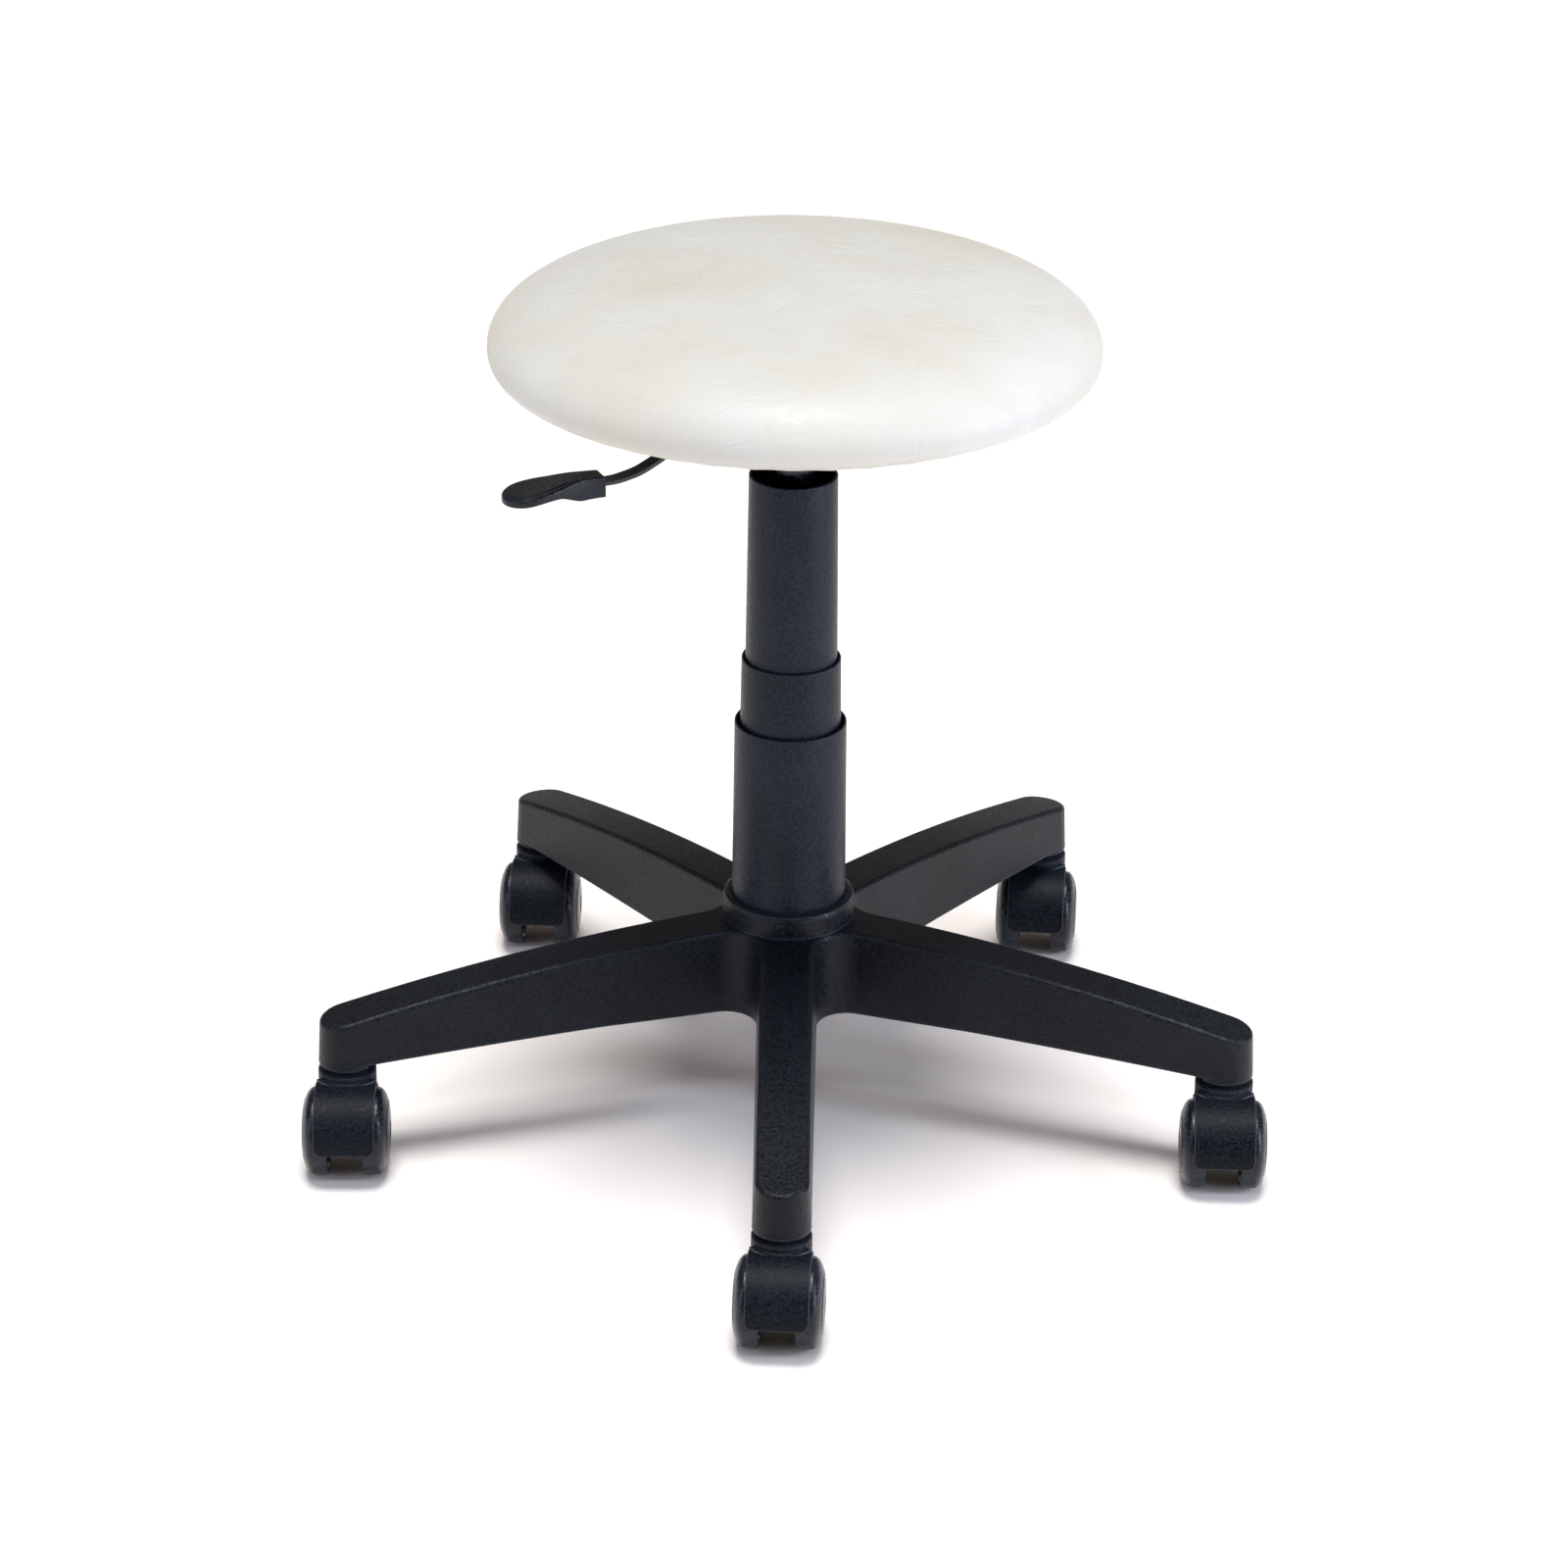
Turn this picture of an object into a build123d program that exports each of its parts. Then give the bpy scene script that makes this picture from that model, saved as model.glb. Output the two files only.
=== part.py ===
from build123d import *

import os
from math import asin, cos, radians, sin

# Round stool on a gas lift, with three telescoping covers, a five-arm moulded base and
# twin-wheel casters. Millimetres, +Z up, origin on the floor under the column's axis.
# At rest the seat is at its highest, and every caster trails within a few degrees of -Y.

# Base
ARM_COUNT = 5
FIRST_ARM = -90.0
STEM_CIRCLE = 289.0
ARM_HALF_HUB = 19.8
ARM_HALF_END = 17.8
ARM_CORNER = 19.0
ARM_DRAFT = 2.6
ARM_WALL = 3.2
ARM_SKIN = 4.0
ARM_EDGE = 3.0
RIB = 2.4
HUB_TOP = 133.0
HUB_CORE = 33.0
ARM_UNDERSIDE = 75.0
UNDERSIDE_FALL = 7.6
BOSS_Z = 66.3
RING_OUTER = 41.75
RING_TOP = 146.0
STEM_BOSS = 10.0

# Gas lift
TUBE_OUTER = 25.0
TUBE_INNER = 22.2
TUBE_FOOT = 23.8
TUBE_BOTTOM = 75.0
TUBE_TOP = 283.0
TUBE_STEP = 5.0
BUSHING_LENGTH = 100.0
CYLINDER_R = 14.0
CYLINDER_BORE = 12.8
CYLINDER_BOTTOM = 218.0
CYLINDER_TAPER_Z = 440.0
CYLINDER_TOP = 468.0
CYLINDER_TOP_R = 13.0
ROD_R = 5.0
PISTON_Z = 235.0
PIN_R = 4.0
PIN_TOP = 474.0
RUNNING = 0.06

# Telescoping covers: outer radius at the foot and at the rim, height of foot and rim
LOWER_SLEEVE = (36.1, 35.1, HUB_TOP, 264.5)
MIDDLE_SLEEVE = (32.8, 31.0, 178.5, 307.7)
UPPER_SLEEVE = (28.9, 27.4, 292.0, 429.6)
SLEEVE_WALL = 1.7
SPIDER_Z = 412.0

# Seat
SEAT_R = 187.2
SEAT_EQUATOR = 511.6
SEAT_RISE = 46.4
SEAT_DROP = 15.2
SEAT_FLAT_R = 145.0
SEAT_FULLNESS = 0.68
VINYL = 1.2
FOAM_INSET = VINYL + 0.5
VINYL_HEM_R = 128.0
BOARD_R = 146.4
BOARD_THICK = 12.0
DUST_COVER = 0.5
STAPLE_COUNT = 24
STAPLE_R = 138.0

# Seat mechanism, turned to the lever's heading
LEVER_HEADING = 204.5
PLATE_SIZE = 170.0
PLATE_THICK = 2.5
BOLT_PITCH = 140.0
BOLT_R = 4.0
BOX_BACK = -32.0
BOX_FRONT = 42.0
BOX_HALF_WIDTH = 22.0
BOX_BOTTOM = 464.0
BOX_WALL = 2.2
PIVOT_OUT = 24.0
PIVOT_Z = 475.5
PIVOT_R = 3.0
STRIP_THICK = 2.4
STRIP_WIDTH = 10.0
HANDLE_TIP = 190.0
HANDLE_BLOCK_END = 126.6
HANDLE_TOP = 448.5
HANDLE_BOTTOM = 435.7
PADDLE_HALF = 15.5
STRIP_END = HANDLE_BLOCK_END + 19
STRIP_END_Z = 443.2

# Casters, in a frame whose Z axis is the stem
WHEEL_R = 27.5
WHEEL_INNER = 10.75
WHEEL_OUTER = 27.3
WHEEL_DOME = 7.5
DOME_FLAT = 9.5
TRAIL = 21.0
AXLE_R = 4.0
HOOD_R = 30.3
HOOD_SKIN = 2.0
HOOD_HALF = 19.1
HOOD_CORNER = 5.5
HOOD_FOOT = 24.9
HOOD_EDGE = 0.5
WEB_HALF = 9.6
COLLAR_R = 18.2
COLLAR_Z = 60.8
COLLAR_FLARE = 3.0
COLLAR_FACE_R = 14.5
COLLAR_FACE_Z = 64.5
STEM_R = 5.5
CASTER_TWIST = (-2.5, 1.3, -2.2, -4.0, -1.7)

BEARING_Z = TUBE_BOTTOM + TUBE_STEP
UNDER_Z = SEAT_EQUATOR - SEAT_DROP
BOARD_Z = UNDER_Z + VINYL
BOARD_TOP = BOARD_Z + BOARD_THICK
PLATE_TOP = BOARD_Z - DUST_COVER
PLATE_Z = PLATE_TOP - PLATE_THICK
HEADING = (cos(radians(LEVER_HEADING)), sin(radians(LEVER_HEADING)), 0)
ACROSS = (HEADING[1], -HEADING[0], 0)
lever_side = Plane(origin=(0, 0, 0), x_dir=HEADING, z_dir=ACROSS)

arm_angles = [FIRST_ARM - 72.0 * i for i in range(ARM_COUNT)]
stem_points = [
    (STEM_CIRCLE * cos(radians(a)), STEM_CIRCLE * sin(radians(a))) for a in arm_angles
]

os.makedirs("parts", exist_ok=True)


def lever_plane(height):
    """Horizontal plane at a height, with X along the lever."""
    return Plane(origin=(0, 0, height), x_dir=HEADING, z_dir=(0, 0, 1))


def turned(*points):
    """A closed outline of (radius, height) points, revolved about the column's axis."""
    with BuildPart() as piece:
        with BuildSketch(Plane.XZ):
            with BuildLine():
                Polyline(*points, close=True)
            make_face()
        revolve(axis=Axis.Z)
    return piece


def washer(inner, outer, bottom, top):
    """A plain ring between two radii and two heights."""
    return turned((inner, bottom), (outer, bottom), (outer, top), (inner, top))


def save(piece, label, x=0.0, y=0.0, turn=0.0):
    """Label a finished piece and write it, turned and shifted on the floor plan."""
    placed = piece.part.moved(Location((x, y, 0), (0, 0, turn)))
    placed.label = label
    export_step(placed, f"parts/{label}.step")


# ---- Star base: drafted arms under a crowned top, hollow and ribbed beneath ----

def star_outline(shrink=0.0):
    """Five tapering arms with round ends and round corners between them."""
    lean = asin((ARM_HALF_HUB - ARM_HALF_END) / STEM_CIRCLE)
    half_end = ARM_HALF_END - shrink
    half_pitch = radians(180 / ARM_COUNT)
    corner_r = (ARM_HALF_HUB - shrink) / sin(half_pitch + lean)
    inner = Vector(corner_r * cos(half_pitch), corner_r * sin(half_pitch))
    far = Vector(STEM_CIRCLE + half_end * sin(lean), half_end * cos(lean))
    end = Vector(STEM_CIRCLE + half_end, 0)
    with BuildSketch(Plane.XY.offset(BOSS_Z)) as outline:
        with BuildLine():
            for angle in arm_angles:
                turn = [
                    point.rotate(Axis.Z, angle)
                    for point in (
                        Vector(inner.X, -inner.Y), Vector(far.X, -far.Y), end, far, inner
                    )
                ]
                Line(turn[0], turn[1])
                ThreePointArc(turn[1], turn[2], turn[3])
                Line(turn[3], turn[4])
        make_face()
        corners = outline.vertices().filter_by(lambda v: Vector(v.X, v.Y).length < 60)
        fillet(corners, ARM_CORNER + shrink)
    return outline


def star_height(top_gap, bottom):
    """Solid of revolution between the arms' crowned top and their underside."""
    with BuildPart() as envelope:
        with BuildSketch(Plane.XZ):
            with BuildLine():
                Line((0, bottom), (0, HUB_TOP - top_gap))
                Line((0, HUB_TOP - top_gap), (36, HUB_TOP - top_gap))
                Line((36, HUB_TOP - top_gap), (36, 131 - top_gap))
                ThreePointArc(
                    (36, 131 - top_gap), (200, 115.0 - top_gap), (320, 92.2 - top_gap)
                )
                Line((320, 92.2 - top_gap), (320, bottom - UNDERSIDE_FALL))
                ThreePointArc(
                    (320, bottom - UNDERSIDE_FALL), (200, bottom - 2.1), (130, bottom)
                )
                Line((130, bottom), (0, bottom))
            make_face()
        revolve(axis=Axis.Z)
    return envelope


with BuildPart() as arm_hollow:
    extrude(star_outline(ARM_WALL).sketch, amount=90, taper=ARM_DRAFT)
    add(star_height(ARM_SKIN, BOSS_Z - 1).part, mode=Mode.INTERSECT)
    with BuildSketch(Plane.XY.offset(BOSS_Z - 10)):
        Circle(HUB_CORE)
        with Locations(*stem_points):
            Circle(STEM_BOSS)
        with PolarLocations(STEM_CIRCLE / 2, ARM_COUNT, FIRST_ARM):
            Rectangle(STEM_CIRCLE, RIB)
        for rib_radius in (92, 142, 192, 242):
            with PolarLocations(rib_radius, ARM_COUNT, FIRST_ARM):
                Rectangle(RIB, 2 * ARM_HALF_HUB)
    extrude(amount=90, mode=Mode.SUBTRACT)

with BuildPart() as star_base:
    extrude(star_outline().sketch, amount=90, taper=ARM_DRAFT)
    add(star_height(0, ARM_UNDERSIDE).part, mode=Mode.INTERSECT)
    with BuildSketch(Plane.XY.offset(BOSS_Z)):
        with Locations(*stem_points):
            Circle(ARM_HALF_END)
    extrude(amount=8, taper=ARM_DRAFT)
    arm_top = star_base.faces().sort_by(SortBy.AREA)[-1]
    outer_edges = arm_top.edges().filter_by(
        lambda e: Vector(e.center().X, e.center().Y).length > 40
    )
    fillet(outer_edges, ARM_EDGE)
    add(arm_hollow.part, mode=Mode.SUBTRACT)
    add(
        turned(
            (LOWER_SLEEVE[0] + 0.4, HUB_TOP - 4),
            (RING_OUTER, HUB_TOP - 4),
            (RING_OUTER, RING_TOP - 3.2),
            (RING_OUTER - 0.9, RING_TOP - 0.9),
            (RING_OUTER - 3.2, RING_TOP),
            (LOWER_SLEEVE[0] + 0.4, RING_TOP),
        ).part
    )
    add(
        turned(
            (0, TUBE_BOTTOM - 1), (TUBE_FOOT, TUBE_BOTTOM - 1), (TUBE_FOOT, TUBE_BOTTOM),
            (TUBE_OUTER, HUB_TOP), (TUBE_OUTER, RING_TOP), (0, RING_TOP),
        ).part,
        mode=Mode.SUBTRACT,
    )
    with BuildSketch(Plane.XY.offset(BOSS_Z)):
        with Locations(*stem_points):
            Circle(STEM_R)
    extrude(amount=23, mode=Mode.SUBTRACT)
save(star_base, "star_base")

# ---- Gas lift: outer tube and its bearing, fixed in the base ----

save(
    turned(
        (TUBE_INNER, TUBE_BOTTOM), (TUBE_FOOT, TUBE_BOTTOM), (TUBE_OUTER, HUB_TOP), (TUBE_OUTER, TUBE_TOP - 1), (TUBE_OUTER - 1, TUBE_TOP),
        (TUBE_INNER, TUBE_TOP),
    ),
    "column_tube",
)
save(
    turned(
        (CYLINDER_R + RUNNING, TUBE_TOP - BUSHING_LENGTH),
        (TUBE_INNER, TUBE_TOP - BUSHING_LENGTH), (TUBE_INNER, TUBE_TOP),
        (TUBE_INNER + 1.8, TUBE_TOP), (TUBE_INNER + 1.8, TUBE_TOP + 2),
        (CYLINDER_R + RUNNING, TUBE_TOP + 2),
    ),
    "guide_bushing",
)
save(
    washer(ROD_R + RUNNING, TUBE_INNER, TUBE_BOTTOM + 2.2, BEARING_Z), "tube_end_plate"
)
save(washer(6.0, 14.0, BEARING_Z, BEARING_Z + 1.2), "bearing_race_lower")

with BuildPart() as bearing_balls:
    with PolarLocations(10.0, 10):
        with Locations((0, 0, BEARING_Z + 3.4)):
            Sphere(1.9)
save(bearing_balls, "bearing_balls")

with BuildPart() as bearing_cage:
    add(washer(6.6, 13.4, BEARING_Z + 2.7, BEARING_Z + 4.1).part)
    with PolarLocations(10.0, 10):
        with Locations((0, 0, BEARING_Z + 3.4)):
            Sphere(2.0, mode=Mode.SUBTRACT)
save(bearing_cage, "bearing_cage")

# ---- Gas lift: rod, which turns in the end plate and carries the piston ----

save(washer(6.0, 14.0, BEARING_Z + 5.6, BEARING_Z + 6.8), "bearing_race_upper")
save(washer(ROD_R, 13.0, BEARING_Z + 7.1, BEARING_Z + 17.5), "rubber_bumper")
save(washer(4.2, 8.6, BEARING_Z - 4.8, BEARING_Z - 3.4), "rod_clip")
save(
    turned(
        (0, BEARING_Z - 6.5), (ROD_R - 0.6, BEARING_Z - 6.5), (ROD_R, BEARING_Z - 5.9),
        (ROD_R, BEARING_Z - 4.8), (4.2, BEARING_Z - 4.8), (4.2, BEARING_Z - 3.4),
        (ROD_R, BEARING_Z - 3.4), (ROD_R, PISTON_Z), (4.0, PISTON_Z),
        (4.0, PISTON_Z + 12), (0, PISTON_Z + 12),
    ),
    "piston_rod",
)
save(
    turned(
        (4.0, PISTON_Z), (12.2, PISTON_Z), (12.2, PISTON_Z + 2.6), (10.6, PISTON_Z + 2.6),
        (10.6, PISTON_Z + 5.4), (12.2, PISTON_Z + 5.4), (12.2, PISTON_Z + 8),
        (4.0, PISTON_Z + 8),
    ),
    "piston",
)
save(
    washer(10.6, CYLINDER_BORE - RUNNING, PISTON_Z + 2.8, PISTON_Z + 5.2), "piston_ring"
)

with BuildPart() as piston_nut:
    with BuildSketch(Plane.XY.offset(PISTON_Z + 8)):
        RegularPolygon(6.5, 6)
        Circle(4.0, mode=Mode.SUBTRACT)
    extrude(amount=4)
save(piston_nut, "piston_nut")

# ---- Gas lift: cylinder, which rises with the seat ----

save(
    turned(
        (CYLINDER_BORE, CYLINDER_BOTTOM), (CYLINDER_R, CYLINDER_BOTTOM),
        (CYLINDER_R, CYLINDER_TAPER_Z), (CYLINDER_TOP_R, CYLINDER_TOP - 1),
        (CYLINDER_TOP_R - 1, CYLINDER_TOP), (PIN_R + RUNNING, CYLINDER_TOP),
        (PIN_R + RUNNING, 458), (CYLINDER_BORE - 1.2, 458), (CYLINDER_BORE, 440),
    ),
    "gas_cylinder",
)
save(
    washer(ROD_R + RUNNING, CYLINDER_BORE, CYLINDER_BOTTOM, CYLINDER_BOTTOM + 11), "rod_guide"
)
save(
    washer(ROD_R + RUNNING, CYLINDER_BORE, CYLINDER_BOTTOM + 11, CYLINDER_BOTTOM + 15),
    "rod_seal",
)
save(washer(PIN_R + RUNNING, CYLINDER_BORE, 432.0, 440.0), "valve_block")
save(
    turned(
        (0, 444.0), (PIN_R, 444.0), (PIN_R, PIN_TOP - 1.6), (2.4, PIN_TOP), (0, PIN_TOP)
    ),
    "release_pin",
)

# ---- Telescoping covers ----


def sleeve(foot_r, rim_r, foot_z, rim_z):
    """A drafted tube with rounded rim and a plain foot."""
    inner_foot = foot_r - SLEEVE_WALL
    inner_rim = rim_r - SLEEVE_WALL
    with BuildPart() as tube:
        with BuildSketch(Plane.XZ):
            with BuildLine():
                Line((inner_foot, foot_z), (foot_r, foot_z))
                Line((foot_r, foot_z), (rim_r, rim_z - 0.8))
                ThreePointArc(
                    (rim_r, rim_z - 0.8), (rim_r - SLEEVE_WALL / 2, rim_z),
                    (inner_rim, rim_z - 0.8),
                )
                Line((inner_rim, rim_z - 0.8), (inner_foot, foot_z))
            make_face()
        revolve(axis=Axis.Z)
    return tube


save(sleeve(*LOWER_SLEEVE), "lower_sleeve")
save(sleeve(*MIDDLE_SLEEVE), "middle_sleeve")
save(sleeve(*UPPER_SLEEVE), "upper_sleeve")

with BuildPart() as sleeve_spider:
    with BuildSketch(Plane.XY.offset(SPIDER_Z)):
        Circle(CYLINDER_R + 3.5)
        with PolarLocations(CYLINDER_R + 6, 3, LEVER_HEADING):
            Rectangle(11.5, 7)
        Circle(CYLINDER_R, mode=Mode.SUBTRACT)
    extrude(amount=6)
save(sleeve_spider, "sleeve_spider")

# ---- Seat: plywood board, foam, vinyl cover, dust cover ----


def crown_curve(inset):
    """The seat's side view above the equator, set in from its outer surface."""
    radius = SEAT_R - inset
    top = SEAT_EQUATOR + SEAT_RISE - inset
    return Bezier(
        (radius, SEAT_EQUATOR),
        (radius, SEAT_EQUATOR + SEAT_FULLNESS * (SEAT_RISE - inset)),
        (SEAT_FULLNESS * radius, top),
        (0, top),
    )


def edge_curve(inset):
    """The seat's side view below the equator, set in from its outer surface."""
    radius = SEAT_R - inset
    bottom = SEAT_EQUATOR - SEAT_DROP + inset
    return Bezier(
        (radius, SEAT_EQUATOR),
        (radius, SEAT_EQUATOR - SEAT_FULLNESS * (SEAT_DROP - inset)),
        (SEAT_FLAT_R + SEAT_FULLNESS * (radius - SEAT_FLAT_R), bottom),
        (SEAT_FLAT_R, bottom),
    )


with BuildPart() as seat_cover:
    with BuildSketch(Plane.XZ):
        with BuildLine():
            crown_curve(0)
            Line((0, SEAT_EQUATOR + SEAT_RISE), (0, SEAT_EQUATOR + SEAT_RISE - VINYL))
            crown_curve(VINYL)
            edge_curve(VINYL)
            Line((SEAT_FLAT_R, BOARD_Z), (VINYL_HEM_R, BOARD_Z))
            Line((VINYL_HEM_R, BOARD_Z), (VINYL_HEM_R, UNDER_Z))
            Line((VINYL_HEM_R, UNDER_Z), (SEAT_FLAT_R, UNDER_Z))
            edge_curve(0)
        make_face()
    revolve(axis=Axis.Z)
save(seat_cover, "seat_cover")

bolt_places = GridLocations(BOLT_PITCH, BOLT_PITCH, 2, 2)
FOAM_FLOOR = UNDER_Z + FOAM_INSET

with BuildPart() as seat_foam:
    with BuildSketch(Plane.XZ):
        with BuildLine():
            crown_curve(FOAM_INSET)
            edge_curve(FOAM_INSET)
            Line((SEAT_FLAT_R, FOAM_FLOOR), (0, FOAM_FLOOR))
            Line((0, FOAM_FLOOR), (0, SEAT_EQUATOR + SEAT_RISE - FOAM_INSET))
        make_face()
    revolve(axis=Axis.Z)
    with BuildSketch(lever_plane(BOARD_Z - 1)):
        Circle(BOARD_R + 0.2)
    extrude(amount=BOARD_THICK + 1, mode=Mode.SUBTRACT)
    with BuildSketch(lever_plane(BOARD_TOP)):
        with bolt_places:
            Circle(10.3)
    extrude(amount=1.6, mode=Mode.SUBTRACT)
save(seat_foam, "seat_foam")

with BuildPart() as seat_board:
    with BuildSketch(lever_plane(BOARD_Z)):
        Circle(BOARD_R)
        with bolt_places:
            Circle(5.5, mode=Mode.SUBTRACT)
    extrude(amount=BOARD_THICK)
    rim = seat_board.edges().filter_by(GeomType.CIRCLE).sort_by(SortBy.RADIUS)[-2:]
    fillet(rim, 1.6)
save(seat_board, "seat_board")

with BuildPart() as dust_cover:
    add(
        turned(
            (0, PLATE_TOP), (VINYL_HEM_R - 0.8, PLATE_TOP),
            (VINYL_HEM_R, UNDER_Z - DUST_COVER), (SEAT_FLAT_R, UNDER_Z - DUST_COVER),
            (SEAT_FLAT_R, UNDER_Z), (VINYL_HEM_R - 0.05, UNDER_Z),
            (VINYL_HEM_R - 0.05, BOARD_Z), (0, BOARD_Z),
        ).part
    )
    with BuildSketch(lever_plane(PLATE_TOP)):
        with bolt_places:
            Circle(BOLT_R + 0.5)
    extrude(amount=DUST_COVER, mode=Mode.SUBTRACT)
save(dust_cover, "dust_cover")

with BuildPart() as staples:
    with BuildSketch(Plane.XY.offset(UNDER_Z - DUST_COVER - 0.5)):
        with PolarLocations(STAPLE_R, STAPLE_COUNT, 7.5):
            Rectangle(1.2, 10)
    extrude(amount=0.5)
save(staples, "staples")

# ---- Seat mechanism: plate, lever housing, taper socket, pivot pin, fasteners ----

with BuildPart() as seat_plate:
    with BuildSketch(lever_plane(PLATE_Z)):
        RectangleRounded(PLATE_SIZE, PLATE_SIZE, 14)
        with bolt_places:
            Circle(BOLT_R + 0.3, mode=Mode.SUBTRACT)
    extrude(amount=PLATE_THICK)
save(seat_plate, "seat_plate")

BOX_LENGTH = BOX_FRONT - BOX_BACK
BOX_MIDDLE = (BOX_FRONT + BOX_BACK) / 2
with BuildPart() as lever_housing:
    with BuildSketch(lever_plane(BOX_BOTTOM)):
        with Locations((BOX_MIDDLE, 0)):
            RectangleRounded(BOX_LENGTH, 2 * BOX_HALF_WIDTH, 6)
    extrude(amount=PLATE_Z - BOX_BOTTOM)
    with BuildSketch(lever_plane(BOX_BOTTOM + BOX_WALL)):
        with Locations((BOX_MIDDLE, 0)):
            RectangleRounded(
                BOX_LENGTH - 2 * BOX_WALL, 2 * (BOX_HALF_WIDTH - BOX_WALL), 6 - BOX_WALL
            )
    extrude(amount=PLATE_Z - BOX_BOTTOM, mode=Mode.SUBTRACT)
    with BuildSketch(lever_plane(BOX_BOTTOM)):
        Circle(17.0)
    extrude(amount=BOX_WALL, mode=Mode.SUBTRACT)
    with BuildSketch(lever_side):
        with Locations((PIVOT_OUT, PIVOT_Z)):
            Circle(PIVOT_R)
    extrude(amount=BOX_HALF_WIDTH + 1, both=True, mode=Mode.SUBTRACT)
    with BuildSketch(lever_side):
        with Locations((BOX_FRONT, PIVOT_Z + 1)):
            Rectangle(12, 12)
    extrude(amount=STRIP_WIDTH / 2 + 1.5, both=True, mode=Mode.SUBTRACT)
save(lever_housing, "lever_housing")

save(
    turned(
        (CYLINDER_R, CYLINDER_TAPER_Z), (17.0, CYLINDER_TAPER_Z),
        (17.0, BOX_BOTTOM + BOX_WALL),
        (
            CYLINDER_R
            - (BOX_BOTTOM + BOX_WALL - CYLINDER_TAPER_Z)
            / (CYLINDER_TOP - 1 - CYLINDER_TAPER_Z)
            * (CYLINDER_R - CYLINDER_TOP_R),
            BOX_BOTTOM + BOX_WALL,
        ),
    ),
    "taper_socket",
)

with BuildPart() as pivot_pin:
    with BuildSketch(lever_side):
        with Locations((PIVOT_OUT, PIVOT_Z)):
            Circle(PIVOT_R)
    extrude(amount=BOX_HALF_WIDTH + 1.5, both=True)
    for side in (-1, 1):
        face_plane = lever_side.offset(side * BOX_HALF_WIDTH)
        with BuildSketch(face_plane):
            with Locations((PIVOT_OUT, PIVOT_Z)):
                Circle(PIVOT_R + 1.8)
        extrude(amount=side * 1.5)
save(pivot_pin, "pivot_pin")

with BuildPart() as seat_bolts:
    with BuildSketch(lever_plane(PLATE_Z - 7.0)):
        with bolt_places:
            RegularPolygon(7.5, 6)
    extrude(amount=5.4)
    with BuildSketch(lever_plane(PLATE_Z - 2.0)):
        with bolt_places:
            Circle(BOLT_R)
    extrude(amount=BOARD_TOP - 0.6 - (PLATE_Z - 2.0))
save(seat_bolts, "seat_bolts")

with BuildPart() as bolt_washers:
    with BuildSketch(lever_plane(PLATE_Z - 1.6)):
        with bolt_places:
            Circle(8.5)
            Circle(BOLT_R + 0.2, mode=Mode.SUBTRACT)
    extrude(amount=1.6)
save(bolt_washers, "bolt_washers")

with BuildPart() as t_nuts:
    with BuildSketch(lever_plane(BOARD_Z + 1.5)):
        with bolt_places:
            Circle(5.5)
            Circle(BOLT_R, mode=Mode.SUBTRACT)
    extrude(amount=BOARD_TOP - BOARD_Z - 1.5)
    with BuildSketch(lever_plane(BOARD_TOP)):
        with bolt_places:
            Circle(10.0)
            Circle(BOLT_R, mode=Mode.SUBTRACT)
    extrude(amount=1.3)
save(t_nuts, "t_nuts")

# ---- Release lever: bent steel strip on the pivot, and its paddle ----

with BuildPart() as lever_strip:
    with BuildSketch(lever_side):
        with BuildLine():
            FilletPolyline(
                (-5, PIVOT_Z), (60, PIVOT_Z), (87, 454.2), (103, 446.2), (118, STRIP_END_Z),
                (STRIP_END, STRIP_END_Z + 0.3),
                radius=(12, 30, 45, 45),
            )
        trace(line_width=STRIP_THICK)
    extrude(amount=STRIP_WIDTH / 2, both=True)
    with BuildSketch(lever_side):
        with Locations((PIVOT_OUT, PIVOT_Z)):
            Circle(4.8)
    extrude(amount=STRIP_WIDTH / 2 + 4, both=True)
    with BuildSketch(lever_side):
        with Locations((PIVOT_OUT, PIVOT_Z)):
            Circle(PIVOT_R + RUNNING)
    extrude(amount=BOX_HALF_WIDTH, both=True, mode=Mode.SUBTRACT)
save(lever_strip, "lever_strip")

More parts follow.
